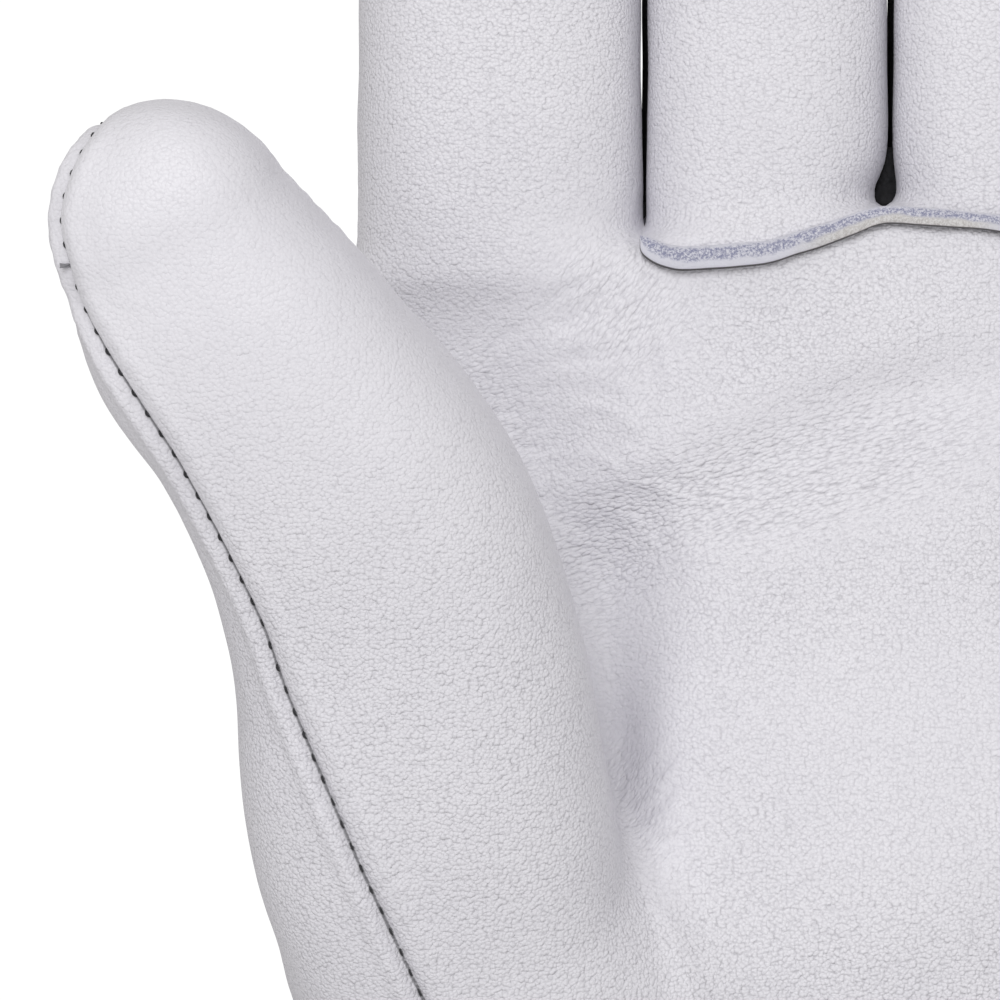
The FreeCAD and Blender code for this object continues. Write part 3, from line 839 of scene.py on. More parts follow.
def sew(skin):
    """Pulls the leather into a groove along each seam and rolls it up on both sides."""
    lines = {
        kind: [smoothed(skin.verts[line]) for line in chains(edges) if len(line) > 6]
        for kind, edges in seam_edges(skin).items()
    }
    seams = seam_tree(lines)
    for reach, longest in ((3.0, 0.62), (1.6, 0.36)):
        distance, kind, _ = seam_distances(skin.verts, seams)
        skin.refine((distance < reach) & (kind == 0) | (distance < 1.6), longest)
    distance, kind, run = seam_distances(skin.verts, seams)
    normals = vertex_normals(skin.verts, skin.tris)
    forward = np.zeros(len(skin.verts), bool)
    forward[skin.tris[skin.panel == FRONT].ravel()] = True
    on_hand = np.zeros(len(skin.verts), bool)
    on_hand[skin.tris[skin.zone == HAND].ravel()] = True
    shift = np.zeros(len(skin.verts))
    for number, name in enumerate(lines):
        (depth, half), front_roll, back_roll = SEAM_SHAPES[name]
        here = (kind == number) & (distance < 8)
        d = distance[here]
        first = ~on_hand[here] if name == "base" else forward[here]
        high = np.where(first, front_roll[0], back_roll[0])
        away = np.where(first, front_roll[1], back_roll[1])
        wide = np.where(first, front_roll[2], back_roll[2])
        pucker = 1 + 0.1 * np.cos(run[here] * 2 * math.pi / STITCH_PITCH)
        full = 0.35 + 0.65 * (skin.verts[here, 0] < INDEX_LEFT + 25) * (skin.verts[here, 1] < -8)
        full = full * (1 - 0.7 * smoothstep(246, 251, skin.verts[here, 2]))
        pucker = pucker * full
        groove = depth * np.exp(-((d / half) ** 2)) * (0.4 + 0.6 * full)
        shift[here] = high * pucker * np.exp(-(((d - away) / wide) ** 2)) - groove
    skin.verts = skin.verts + normals * shift[:, None]
    return distance, kind


def thread_mesh(places, ways, ups, length, radius):
    """Short rounded stitches whose ends dip into the leather."""
    ways = ways / np.linalg.norm(ways, axis=1)[:, None]
    across = np.cross(ways, ups)
    across /= np.maximum(np.linalg.norm(across, axis=1)[:, None], 1e-9)
    ups = np.cross(across, ways)
    stations = np.array([-1, -0.72, -0.3, 0.3, 0.72, 1]) / 2
    sizes = np.array([0.35, 0.85, 1, 1, 0.85, 0.35]) * radius
    heights = radius * (0.9 - 6.5 * stations**2)
    turns = np.arange(7) * 2 * math.pi / 7
    verts = (
        places[:, None, None]
        + ways[:, None, None] * (stations * length)[None, :, None, None]
        + ups[:, None, None] * (heights[:, None] + sizes[:, None] * np.sin(turns))[None, :, :, None]
        + across[:, None, None] * (sizes[:, None] * np.cos(turns))[None, :, :, None]
    )
    ring = np.arange(6)[:, None] * 7 + np.arange(7)[None]
    a, b = ring[:-1], np.roll(ring, -1, axis=1)[:-1]
    c, d = np.roll(ring, -1, axis=1)[1:], ring[1:]
    side = np.stack([a, b, c, a, c, d], -1).reshape(-1, 3)
    caps = np.array([(0, i + 1, i) for i in range(1, 6)] + [(35, 35 + i, 36 + i) for i in range(1, 6)])
    one = np.vstack([side, caps])
    count = len(places)
    tris = (one[None] + 42 * np.arange(count)[:, None, None]).reshape(-1, 3)
    return verts.reshape(-1, 3), tris


# ---------------------------------------------------------------- pieces


def make_mesh(name, verts, tris, material, **attributes):
    """A mesh object in the scene, with its shape at rest kept as an attribute for its material."""
    mesh = bpy.data.meshes.new(name)
    mesh.vertices.add(len(verts))
    mesh.vertices.foreach_set("co", (verts * MM).astype(np.float32).ravel())
    mesh.loops.add(tris.size)
    mesh.loops.foreach_set("vertex_index", tris.ravel().astype(np.int32))
    mesh.polygons.add(len(tris))
    mesh.polygons.foreach_set("loop_start", np.arange(0, tris.size, tris.shape[1], dtype=np.int32))
    mesh.update(calc_edges=True)
    mesh.polygons.foreach_set("use_smooth", np.ones(len(tris), bool))
    attributes.setdefault("rest", verts)
    for key, values in attributes.items():
        kind = "FLOAT_VECTOR" if np.ndim(values) == 2 else "FLOAT"
        layer = mesh.attributes.new(key, kind, "POINT")
        layer.data.foreach_set(
            "vector" if np.ndim(values) == 2 else "value", np.ravel(values).astype(np.float32)
        )
    mesh.materials.append(material)
    obj = bpy.data.objects.new(name, mesh)
    bpy.context.scene.collection.objects.link(obj)
    return obj


def thick_piece(name, verts, normals, tris, thickness, material, **attributes):
    """A panel as a closed solid: its outer face, an inner face one leather deeper, and the rim between."""
    used, tris = np.unique(tris, return_inverse=True)
    tris = tris.reshape(-1, 3)
    outer, n = verts[used], normals[used]
    count = len(used)
    sides = np.stack([tris, np.roll(tris, -1, axis=1)], 2).reshape(-1, 2)
    keys = sides[:, 0] * count + sides[:, 1]
    open_edge = ~np.isin(keys, sides[:, 1] * count + sides[:, 0])
    a, b = sides[open_edge].T
    rim = np.vstack([np.stack([b, a, a + count], 1), np.stack([b, a + count, b + count], 1)])
    faces = np.vstack([tris, tris[:, ::-1] + count, rim])
    places = np.vstack([outer, outer - n * thickness])
    layers = {key: np.concatenate([values[used], values[used]]) for key, values in attributes.items()}
    obj = make_mesh(name, places, faces, material, **layers)
    corners = np.vstack([n, -n])[faces.ravel()]
    flat = np.cross(places[rim[:, 1]] - places[rim[:, 0]], places[rim[:, 2]] - places[rim[:, 0]])
    flat /= np.maximum(np.linalg.norm(flat, axis=1)[:, None], 1e-12)
    corners[-3 * len(rim) :] = np.repeat(flat, 3, axis=0)
    obj.data.normals_split_custom_set(corners.astype(np.float32))
    return obj


def place(obj, zone, slot, *nodes):
    """Puts a piece of the hand on the hand's body, and leaves every other piece where it is, on no body.
    Hides the CAD parts that the piece stands for.
    """
    if zone == "hand":
        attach(obj, "hand")
    elif zone.startswith("thumb"):
        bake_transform(obj)
    elif zone.endswith("_low"):
        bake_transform(obj)
    else:
        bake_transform(obj)
    nodes = [node for node in nodes if node in frame["nodes"]]
    if nodes:
        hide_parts(*nodes)


# ---------------------------------------------------------------- materials


class Shader:
    """A node material built with short calls; every node output is passed on as a socket."""

    def __init__(self, name, roughness, **constants):
        self.material = bpy.data.materials.new(name)
        self.material.use_nodes = True
        self.tree = self.material.node_tree
        self.surface = self.tree.nodes["Principled BSDF"]
        self.surface.inputs["Roughness"].default_value = roughness
        for socket, value in constants.items():
            self.surface.inputs[socket.replace("_", " ")].default_value = value

    def node(self, kind, output=0, settings=None, **inputs):
        node = self.tree.nodes.new("ShaderNode" + kind)
        for key, value in (settings or {}).items():
            setattr(node, key, value)
        for key, value in inputs.items():
            socket = node.inputs[int(key[1:])] if key[1:].isdigit() else node.inputs[key.replace("_", " ")]
            if isinstance(value, bpy.types.NodeSocket):
                self.tree.links.new(value, socket)
            else:
                socket.default_value = value
        return node.outputs[output]

    def attribute(self, name, vector=False):
        return self.node("Attribute", "Vector" if vector else "Fac", {"attribute_name": name})

    def maths(self, operation, a, b=0.0, c=0.0):
        return self.node("Math", 0, {"operation": operation}, i0=a, i1=b, i2=c)

    def remap(self, value, low, high, to_low=0.0, to_high=1.0):
        return self.node(
            "MapRange", 0, {"interpolation_type": "SMOOTHSTEP"},
            i0=value, i1=low, i2=high, i3=to_low, i4=to_high,
        )

    def noise(self, vector, scale, detail=2.0, roughness=0.5):
        return self.node("TexNoise", 0, None, Vector=vector, Scale=scale, Detail=detail, Roughness=roughness)

    def mix(self, share, a, b):
        return self.node("Mix", 2, {"data_type": "RGBA"}, i0=share, i6=a, i7=b)

    def add(self, *terms):
        """The sum of (value, factor) pairs."""
        total = 0.0
        for value, factor in terms:
            total = self.maths("MULTIPLY_ADD", value, factor, total)
        return total

    def finish(self, colour, height, depth_mm, roughness=None):
        self.tree.links.new(colour, self.surface.inputs["Base Color"])
        if roughness is not None:
            self.tree.links.new(roughness, self.surface.inputs["Roughness"])
        bump = self.node("Bump", 0, None, Strength=1.0, Distance=depth_mm * MM, Height=height)
        self.tree.links.new(bump, self.surface.inputs["Normal"])
        return self.material


def rgba(colour):
    return (*colour, 1.0)


def pebbles(shader, rest, size, turn=0.0, stretch=1.0):
    """Depth of the creases between rounded pebbles, which can be drawn out along a turned direction."""
    turned = shader.node("VectorRotate", 0, {"rotation_type": "Y_AXIS"}, Vector=rest, Angle=turn)
    scale = (1 / (size * stretch), 1 / size, 1.1 / size)
    cells = shader.node("VectorMath", 0, {"operation": "MULTIPLY"}, i0=turned, i1=scale)
    wobble = shader.node("TexNoise", "Color", None, Vector=cells, Scale=0.7, Detail=1.0)
    moved = shader.node("VectorMath", 0, {"operation": "MULTIPLY_ADD"}, i0=wobble, i1=(0.9,) * 3, i2=cells)
    near = shader.node("TexVoronoi", 0, {"feature": "F1"}, Vector=moved, Scale=1.0, Randomness=0.85)
    return shader.maths("MULTIPLY", near, near)


def goatskin_material():
    shader = Shader("goatskin", 0.42, Specular_IOR_Level=0.45, Sheen_Weight=0.04, Sheen_Roughness=0.4)
    rest = shader.attribute("rest", True)
    strength = shader.attribute("grain")
    crease = pebbles(shader, rest, 0.4)
    for name, turn in (("level", 0.28), ("slanted", 0.95)):
        drawn = pebbles(shader, rest, 0.4, turn, 1.8)
        share = shader.attribute(name)
        crease = shader.add((crease, shader.maths("SUBTRACT", 1.0, share)), (drawn, share))
    lumps = shader.noise(rest, 0.45, 2.0)
    fine = shader.noise(rest, 3.5, 2.0)
    height = shader.maths("MULTIPLY", shader.add((crease, -1.0), (lumps, 0.8), (fine, 0.1)), strength)
    patch = shader.noise(rest, 0.045, 3.0, 0.55)
    colour = shader.mix(
        shader.remap(patch, 0.3, 0.7), rgba((0.765, 0.757, 0.805)), rgba((0.795, 0.787, 0.832))
    )
    # painted shade: the colour is darkened in the grain's creases, more where the grain is coarse
    painted_crease_shade = shader.maths("MULTIPLY", shader.remap(crease, 0.1, 0.55, 0.0, 0.2), strength)
    colour = shader.mix(painted_crease_shade, colour, rgba((0.52, 0.51, 0.56)))
    seam = shader.attribute("seam")
    # painted shade: a grey band beside each seam's groove, then a painted shadow line, nearly black, in the
    # gap along the seam itself
    colour = shader.mix(shader.remap(seam, 0.0, 1.0, 0.0, 0.2), colour, rgba((0.5, 0.49, 0.52)))
    colour = shader.mix(shader.remap(seam, 0.9, 0.99, 0.0, 0.8), colour, rgba((0.1, 0.1, 0.11)))
    roughness = shader.remap(shader.noise(rest, 1.6, 2.0), 0.3, 0.7, 0.38, 0.48)
    return shader.finish(colour, height, 0.17, roughness)


def black_material():
    shader = Shader("black_fourchette", 0.68, Specular_IOR_Level=0.22)
    rest = shader.attribute("rest", True)
    crease = pebbles(shader, rest, 0.6)
    # painted shade: slightly darker in the creases between the pebbles
    colour = shader.mix(crease, rgba((0.016, 0.016, 0.018)), rgba((0.008, 0.008, 0.009)))
    return shader.finish(colour, shader.maths("MULTIPLY", crease, -1.0), 0.12)


def suede_height(shader, rest):
    nap = shader.noise(rest, 4.5, 4.0, 0.7)
    clumps = shader.noise(rest, 0.9, 3.0, 0.6)
    return shader.add((nap, 0.6), (clumps, 0.8)), nap, clumps


def split_material(name, light, dark):
    shader = Shader(name, 0.92, Specular_IOR_Level=0.2, Sheen_Weight=0.25, Sheen_Roughness=0.5)
    rest = shader.attribute("rest", True)
    height, nap, clumps = suede_height(shader, rest)
    patch = shader.noise(rest, 0.06, 3.0, 0.6)
    share = shader.add((nap, 0.45), (clumps, 0.35), (patch, 0.5))
    colour = shader.mix(shader.remap(share, 0.4, 0.85), rgba(dark), rgba(light))
    return shader.finish(colour, height, 0.22)


def raw_edge_material():
    """The seam allowance: a bluish fuzzy flesh side on top, a pale cut edge below, cream suede further on,
    and a painted shadow along its underside.
    """
    shader = Shader("raw_edge", 0.8, Specular_IOR_Level=0.25, Sheen_Weight=0.15, Sheen_Roughness=0.5)
    rest = shader.attribute("rest", True)
    down = shader.attribute("down")
    cream = shader.attribute("cream")
    fibre = shader.noise(rest, 4.2, 4.0, 0.75)
    clump = shader.noise(rest, 1.1, 2.0, 0.6)
    wander = shader.add((down, 1.0), (clump, 0.3), (-0.15, 1.0))
    inside = shader.maths(
        "MULTIPLY", shader.remap(wander, 0.04, 0.16), shader.remap(wander, 0.52, 0.72, 1.0, 0.0)
    )
    speckle = shader.maths("MULTIPLY", shader.remap(fibre, 0.4, 0.58), inside)
    colour = shader.mix(speckle, rgba((0.7, 0.7, 0.77)), rgba((0.27, 0.28, 0.4)))
    suede = shader.mix(shader.remap(fibre, 0.35, 0.65), rgba((0.5, 0.48, 0.47)), rgba((0.74, 0.73, 0.73)))
    colour = shader.mix(cream, colour, suede)
    # painted shadow: nearly black along the band's lower edge and underside, where it lies on the palm
    colour = shader.mix(shader.remap(down, 0.925, 0.96), colour, rgba((0.09, 0.085, 0.09)))
    height = shader.add((fibre, 0.8), (clump, 0.5))
    return shader.finish(colour, height, 0.16)


def thread_material():
    shader = Shader("thread", 0.6, Specular_IOR_Level=0.35, Sheen_Weight=0.1)
    rest = shader.attribute("rest", True)
    twist = shader.noise(rest, 6.0, 2.0)
    colour = shader.mix(twist, rgba((0.012, 0.012, 0.014)), rgba((0.045, 0.045, 0.05)))
    return shader.finish(colour, twist, 0.05)


# ---------------------------------------------------------------- the raw edge at the finger bases

# X and height of the band's upper and lower contour, left to right
LIP_TOP = [
    (-24.4, 240.6), (-23.4, 240.4), (-21.4, 239.7), (-18.4, 239.5), (-11.8, 240.1), (-6.9, 241.5),
    (-2.2, 243.1), (0.6, 243.5), (3.0, 243.5), (7.3, 243.1), (11.5, 242.6), (18.0, 241.4),
    (23.6, 240.2),
]
LIP_BOTTOM = [
    (-24.5, 240.2), (-24.2, 238.6), (-21.9, 237.2), (-19.2, 236.9), (-12.2, 237.6), (-8.2, 238.7),
    (-3.3, 240.5), (-0.8, 241.5), (1.6, 241.7), (5.6, 241.4), (11.5, 240.9), (18.0, 239.6),
    (23.9, 238.6),
]
LIP_COUNT = 260
# across the band, from its top: share of its width, and height above the palm
LIP_SECTION = np.array(
    [(0.0, -0.3), (0.03, 0.25), (0.12, 0.72), (0.3, 0.98), (0.55, 1.12), (0.78, 1.2), (0.92, 1.16),
     (0.985, 0.95)]
    + [(1.01, 0.62), (1.0, 0.2), (0.97, -0.5)]
)


def skin_front(skin):
    """A function giving the skin's front surface behind points of the XZ plane."""
    middles = skin.middles()
    rows = (middles[:, 2] > 228) & (middles[:, 2] < 252) & (middles[:, 1] < 0) & (middles[:, 0] > -30)
    used, tris = np.unique(skin.tris[rows], return_inverse=True)
    tree = BVHTree.FromPolygons(skin.verts[used].tolist(), tris.reshape(-1, 3).tolist())

    def find(x, z, fallback):
        hit = tree.ray_cast((x, -60, z), (0, 1, 0))[0]
        return hit[1] if hit is not None and hit[1] < fallback + 4 else fallback

    return find


def build_lip(skin, material):
    top, bottom = curve(LIP_TOP, LIP_COUNT), curve(LIP_BOTTOM, LIP_COUNT)
    front = skin_front(skin)
    middle = (top + bottom) / 2
    depth = []
    for x, z in middle:
        depth.append(front(x, z - 1.0, depth[-1] if depth else -11.0))
    depth = np.array(depth)
    for _ in range(12):
        depth[1:-1] = (depth[:-2] + 2 * depth[1:-1] + depth[2:]) / 4
    share, rise = curve(LIP_SECTION, 34).T
    count = len(share)
    place_in = top[:, None] * (1 - share)[None, :, None] + bottom[:, None] * share[None, :, None]
    ends = np.minimum(1, np.minimum(np.arange(LIP_COUNT), np.arange(LIP_COUNT)[::-1]) / 9.0)
    ends = np.sqrt(1 - (1 - ends) ** 2)
    x, z = place_in[..., 0], place_in[..., 1]
    flat = np.stack([x, np.zeros_like(x), z], -1)
    uneven = 0.16 * lattice_noise(flat, 2.6, 7) + 0.05 * lattice_noise(flat, 0.7, 8)
    proud = (rise[None] + uneven * (rise[None] > 0.3)) * ends[:, None]
    verts = np.stack([x, depth[:, None] - proud, z + 0.1 * lattice_noise(flat, 3.0, 9)], -1).reshape(-1, 3)
    grid = np.arange(LIP_COUNT * count).reshape(LIP_COUNT, count)
    a, b = grid[:-1], np.roll(grid, -1, axis=1)[:-1]
    c, d = np.roll(grid, -1, axis=1)[1:], grid[1:]
    tris = np.vstack([np.stack([a, c, b], -1).reshape(-1, 3), np.stack([a, d, c], -1).reshape(-1, 3)])
    fans = [(grid[0, 0], grid[0, i], grid[0, i + 1]) for i in range(1, count - 1)]
    fans += [(grid[-1, 0], grid[-1, i + 1], grid[-1, i]) for i in range(1, count - 1)]
    down = np.broadcast_to(share[None], (LIP_COUNT, count)).ravel()
    cream = smoothstep(0.42, 0.62, down + 0.1 * lattice_noise(verts, 1.5, 10)) * smoothstep(
        -10.5, -4.5, verts[:, 0]
    )
    cream = cream * (1 - smoothstep(8, 13, verts[:, 0]))
    return make_mesh(
        "finger_base_seam_edge", verts, np.vstack([tris, fans]), material, down=down, cream=cream
    )


WEB_HALF = 3.0  # half depth of a fourchette's foot


def build_web(name, gap, material):
    """The foot of a fourchette: a low black saddle between two fingers."""
    left, right = GAP_WIDE[gap]
    wide = (left + right) / 2 + 0.8
    middle = gap + (right - left) / 2
    foot = CROTCHES[gap]
    heights = np.linspace(foot - 4, foot + 4.6 + 1.6 * (left + right) / 2, 14)
    turns = np.linspace(0, 2 * math.pi, 40, endpoint=False)
    rings = []
    for i, z in enumerate(heights):
        closing = 1 - 0.35 * (i / 13) ** 2
        y = WEB_HALF * closing * np.sign(np.sin(turns)) * np.abs(np.sin(turns)) ** 0.6
        x = middle + (gap - middle) * i / 13 + wide * closing * np.cos(turns)
        sag = 0.08 * (WEB_HALF**2 - y**2) * (i / 13) ** 2
        rings.append(np.stack([x, y, z - sag], 1))
    verts = np.vstack(rings + [[(middle, 0, heights[0])], [(gap, 0, heights[-1] - 1.2)]])
    grid = np.arange(14 * 40).reshape(14, 40)
    a, b = grid[:-1], np.roll(grid, -1, axis=1)[:-1]
    c, d = np.roll(grid, -1, axis=1)[1:], grid[1:]
    tris = np.vstack([np.stack([a, b, c], -1).reshape(-1, 3), np.stack([a, c, d], -1).reshape(-1, 3)])
    low = [(560, (i + 1) % 40, i) for i in range(40)]
    high = [(561, 520 + i, 520 + (i + 1) % 40) for i in range(40)]
    return make_mesh(name, verts, np.vstack([tris, low, high]), material)


# ---------------------------------------------------------------- cuff and hem

# height, half width, half depth in front, half depth behind, roundness
CUFF_PROFILE = [
    (0.9, 59.6, 40.6, 40.6, 2.1), (20, 58.0, 39.3, 39.4, 2.1), (45, 55.2, 37.2, 37.4, 2.15),
    (70, 51.8, 34.3, 34.8, 2.2), (90, 48.2, 30.9, 32.2, 2.3), (104, 45.4, 28.0, 30.0, 2.4),
    (112, 43.9, 26.1, 28.7, 2.45), (118.5, 43.3, 25.1, 27.8, 2.5),
]
BINDING_TOP = 12.0


def cuff_outline(turns, heights, grow=0.0):
    """Points of the cuff's outside at each height and turn, with the dents of hand-worked leather."""
    profile = curve(CUFF_PROFILE, 300)
    rows = [np.interp(heights, profile[:, 0], profile[:, i]) for i in range(1, 5)]
    wide, front, behind, roundness = (row[:, None] for row in rows)
    deep = np.where(np.sin(turns)[None] < 0, front, behind)
    bend = 2 / roundness
    x = np.sign(np.cos(turns)) * np.abs(np.cos(turns)) ** bend
    y = np.sign(np.sin(turns)) * np.abs(np.sin(turns)) ** bend
    points = np.stack([wide * x, deep * y, np.broadcast_to(heights[:, None], x.shape)], -1)
    out = np.stack([x / wide, y / deep, np.zeros_like(x)], -1)
    out /= np.linalg.norm(out, axis=-1)[..., None]
    loose = smoothstep(0, 30, heights)[:, None] * (1 - smoothstep(96, 112, heights))[:, None]
    dents = 1.1 * lattice_noise(points, 26.0, 21) * loose + 0.25 * lattice_noise(points, 8.0, 22)
    draw = -0.7 * np.exp(-(((heights[:, None] - 96) / 7.0) ** 2)) * (1 + lattice_noise(points, 10.0, 23))
    flare = 0.9 * np.cos(3 * turns + 0.7)[None] * (1 - smoothstep(0, 60, heights))[:, None]
    return points + out * (dents + draw + flare + grow)[..., None], out


def closed_sheet(outer, inner):
    """Vertices and triangles of a sheet given by two grids of points, closed along its four edges."""
    rows, columns = outer.shape[:2]
    first = np.arange(rows * columns).reshape(rows, columns)
    second = first + rows * columns

    def skin_of(grid, flip):
        a, b, c, d = grid[:-1, :-1], grid[:-1, 1:], grid[1:, 1:], grid[1:, :-1]
        pair = ((a, b, c), (a, c, d))
        return [np.stack(t[::-1] if flip else t, -1).reshape(-1, 3) for t in pair]

    tris = skin_of(first, False) + skin_of(second, True)
    for line, other, flip in (
        (first[0], second[0], True),
        (first[-1], second[-1], False),
        (first[:, 0], second[:, 0], False),
        (first[:, -1], second[:, -1], True),
    ):
        a, b, c, d = line[:-1], line[1:], other[1:], other[:-1]
        for t in ((a, b, c), (a, c, d)):
            tris.append(np.stack(t[::-1] if flip else t, -1))
    return np.vstack([outer.reshape(-1, 3), inner.reshape(-1, 3)]), np.vstack(tris)


def build_cuff(name, start, material):
    """Half of the cuff, sewn to the other half down both sides."""
    turns = start + np.linspace(0, 1, 220) * math.pi
    heights = np.linspace(1.2, 118.5, 190)
    edge = np.minimum(turns - start, start + math.pi - turns) * 52
    roll = 0.55 * np.exp(-(((edge - 2.2) / 1.0) ** 2)) - 1.1 * np.exp(-((edge / 0.8) ** 2))
    outer, out = cuff_outline(turns, heights, roll[None] * smoothstep(8, 20, heights)[:, None])
    plain, _ = cuff_outline(turns, heights)
    verts, tris = closed_sheet(outer, plain - out * CUFF_LEATHER)
    return make_mesh(name, verts, tris, material)


def build_binding(material):
    """A strip folded over the rim, higher outside than in, and sewn through."""
    turns = np.linspace(0, 2 * math.pi, 400, endpoint=False)
    outside = [
        (BINDING_TOP - 0.15, 0.2), (BINDING_TOP, 0.7), (BINDING_TOP - 0.5, 1.1), (10.6, 1.15), (9.6, 0.72)
    ]
    outside += [(9.2, 0.62), (8.8, 0.74), (7.6, 1.15), (5.5, 1.3), (3, 1.3), (1.2, 1.15), (0.35, 0.5),
                (0.05, -0.4)]
    inside = [(0.05, -1.4), (0.5, -2.2), (2.0, -2.7), (6.0, -2.7), (9.6, -2.65), (10.2, -2.3), (10.0, -1.5)]
    section = np.array(outside + inside)
    rings = []
    for height, grow in curve(section, 72):
        points, out = cuff_outline(turns, np.array([max(height, 0.9)]))
        uneven = 0.12 * lattice_noise(points, 4.0, 31)
        ring = (points + out * (grow + uneven)[..., None])[0]
        ring[:, 2] = height + 0.25 * np.sin(turns * 5) * (height > 8)
        rings.append(ring)
    rings = np.array(rings)
    grid = np.arange(72 * 400).reshape(72, 400)
    a, b = grid, np.roll(grid, -1, axis=1)
    c, d = np.roll(b, -1, axis=0), np.roll(grid, -1, axis=0)
    tris = np.vstack([np.stack([a, c, b], -1).reshape(-1, 3), np.stack([a, d, c], -1).reshape(-1, 3)])
    return make_mesh("hem_binding", rings.reshape(-1, 3), tris, material)


RIM_PITCH = 3.2  # from stitch to stitch along the hem
SIDE_PITCH = 2.8  # and up the cuff's two side seams


def cuff_threads():
    """Places, directions and outward directions of the cuff's stitches."""
    places, ways, ups = [], [], []
    around = np.linspace(0, 2 * math.pi, 1200)
    ring, out = cuff_outline(around, np.array([9.2]), 0.62)
    line, normal = ring[0], out[0]
    points, at = resample(line, RIM_PITCH)
    steps = np.arange(len(line))
    places.append(points)
    ways.append(np.stack([np.interp(at, steps, np.gradient(line[:, i])) for i in range(3)], 1))
    ups.append(np.stack([np.interp(at, steps, normal[:, i]) for i in range(3)], 1))
    for turn in (0.0, math.pi):
        heights = np.arange(13.5, 112, SIDE_PITCH)
        points, out = cuff_outline(np.array([turn]), heights, -0.9)
        places.append(points[:, 0])
        ways.append(np.gradient(points[:, 0], axis=0))
        ups.append(out[:, 0])
    return np.vstack(places), np.vstack(ways), np.vstack(ups)


# ---------------------------------------------------------------- assembly


def grain_strength(verts):
    """How coarse the leather's grain is: fine and tight on the thumb's ball, loose in the palm's hollow."""
    x, z = verts[:, 0], verts[:, 2]
    hollow = 0.85 * np.exp(-(((x + 12) / 28) ** 2) - ((z - 216) / 19) ** 2)
    heel = 0.3 * np.exp(-(((z - 166) / 9) ** 2))
    strength = 0.9 + 0.55 * hollow + heel + 0.1 * lattice_noise(verts, 14.0, 40)
    strength = strength - 0.2 * np.exp(-((x / 24) ** 2) - ((z - 194) / 12) ** 2)
    near = np.where((x < -15) & (z > 140) & (z < 262))[0]
    on = smoothstep(-2, 4, thumb_share(verts[near]))
    height = 1.05 - 0.6 * smoothstep(195, 238, z[near])
    strength[near] = strength[near] * (1 - on) + height * on
    return strength


def fold_strengths(verts):
    """How much the leather is drawn into fine folds that run nearly level, and steeply up to the right."""
    x, y, z = verts.T
    crease = np.exp(-(((x + 8) / 24) ** 2) - ((z - 217 - 0.22 * (x + 8)) / 7.5) ** 2)
    crotch = np.exp(-(((x + 41) / 8) ** 2) - ((z - 222) / 12) ** 2)
    level = np.maximum(crease, 0.8 * crotch) + 0.6 * np.exp(-(((x + 29) / 7) ** 2) - ((z - 205) / 10) ** 2)
    foot = np.exp(-(((x + 27) / 8) ** 2) - ((z - 234) / 9) ** 2)
    slanted = np.maximum(foot, np.exp(-(((x + 26) / 5) ** 2) - ((z - 183) / 10) ** 2))
    off = (y < 0) * 1.0
    near = np.where((x < -15) & (z > 140) & (z < 262))[0]
    off[near] *= 1 - 0.9 * smoothstep(-2, 3, thumb_share(verts[near]))
    level = np.clip(1.3 * level, 0, 1) * off
    slanted = np.clip(1.3 * slanted, 0, 1) * off * (1 - level)
    return {"level": level, "slanted": slanted}


def panel_name(zone, panel, x):
    """The CAD node that a panel of the skin stands for, and others it covers."""
    if zone == "hand":
        creases = [name + "_base_crease" for name in (*FINGER_NAMES, "thumb")]
        return {FRONT: ["palm_panel", *creases], BACK: ["back_panel"], SIDE: []}[panel]
    digit, part = zone.split("_")
    crease = [digit + "_mid_crease"] if part == "low" else []
    if panel == SIDE:
        side = "right" if x > pivot_mm(digit + "_base_bend")[0] else "left"
        return ["%s_%s_fourchette_%s" % (digit, side, part)]
    if panel == BACK:
        return ["%s_back_%s" % (digit, part)]
    return ["%s_front_%s" % (digit, part), *crease]


def build_panels(skin, flaps, distance, kind, materials):
    normals = vertex_normals(skin.verts, skin.tris)
    # closeness to a seam, by which the goatskin paints shade and a shadow line along the seam
    seam = np.exp(-((distance / 0.8) ** 2)) * np.where(kind == 0, 1.0, 0.8)
    layers = {"rest": skin.verts, "grain": grain_strength(skin.verts), "seam": seam}
    layers.update(fold_strengths(skin.verts))
    middle_x = skin.middles()[:, 0]
    for number, zone in enumerate(ZONES):
        for panel in (FRONT, BACK, SIDE):
            rows = (skin.zone == number) & (skin.panel == panel)
            if rows.sum() < 4:
                continue
            sides = [rows]
            if panel == SIDE and zone != "hand":
                centre = pivot_mm(zone.split("_")[0] + "_base_bend")[0]
                sides = [rows & (middle_x < centre), rows & (middle_x > centre)]
            for part in sides:
                if part.sum() < 4:
                    continue
                nodes = panel_name(zone, panel, middle_x[part].mean())
                name = nodes[0] if nodes else "fourchette_feet"
                slot = "black_fourchette" if panel == SIDE else "goatskin"
                obj = thick_piece(
                    name, skin.verts, normals, skin.tris[part], LEATHER, materials[slot], **layers
                )
                place(obj, zone, slot, *nodes)
    for name, flap, zone in flaps:
        normals = vertex_normals(flap.verts, flap.tris)
        layers = {"rest": flap.verts, "grain": grain_strength(flap.verts), "seam": np.zeros(len(flap.verts))}
        layers.update(fold_strengths(flap.verts))
        obj = thick_piece(name, flap.verts, normals, flap.tris, LEATHER, materials["goatskin"], **layers)
        place(obj, zone, "goatskin")


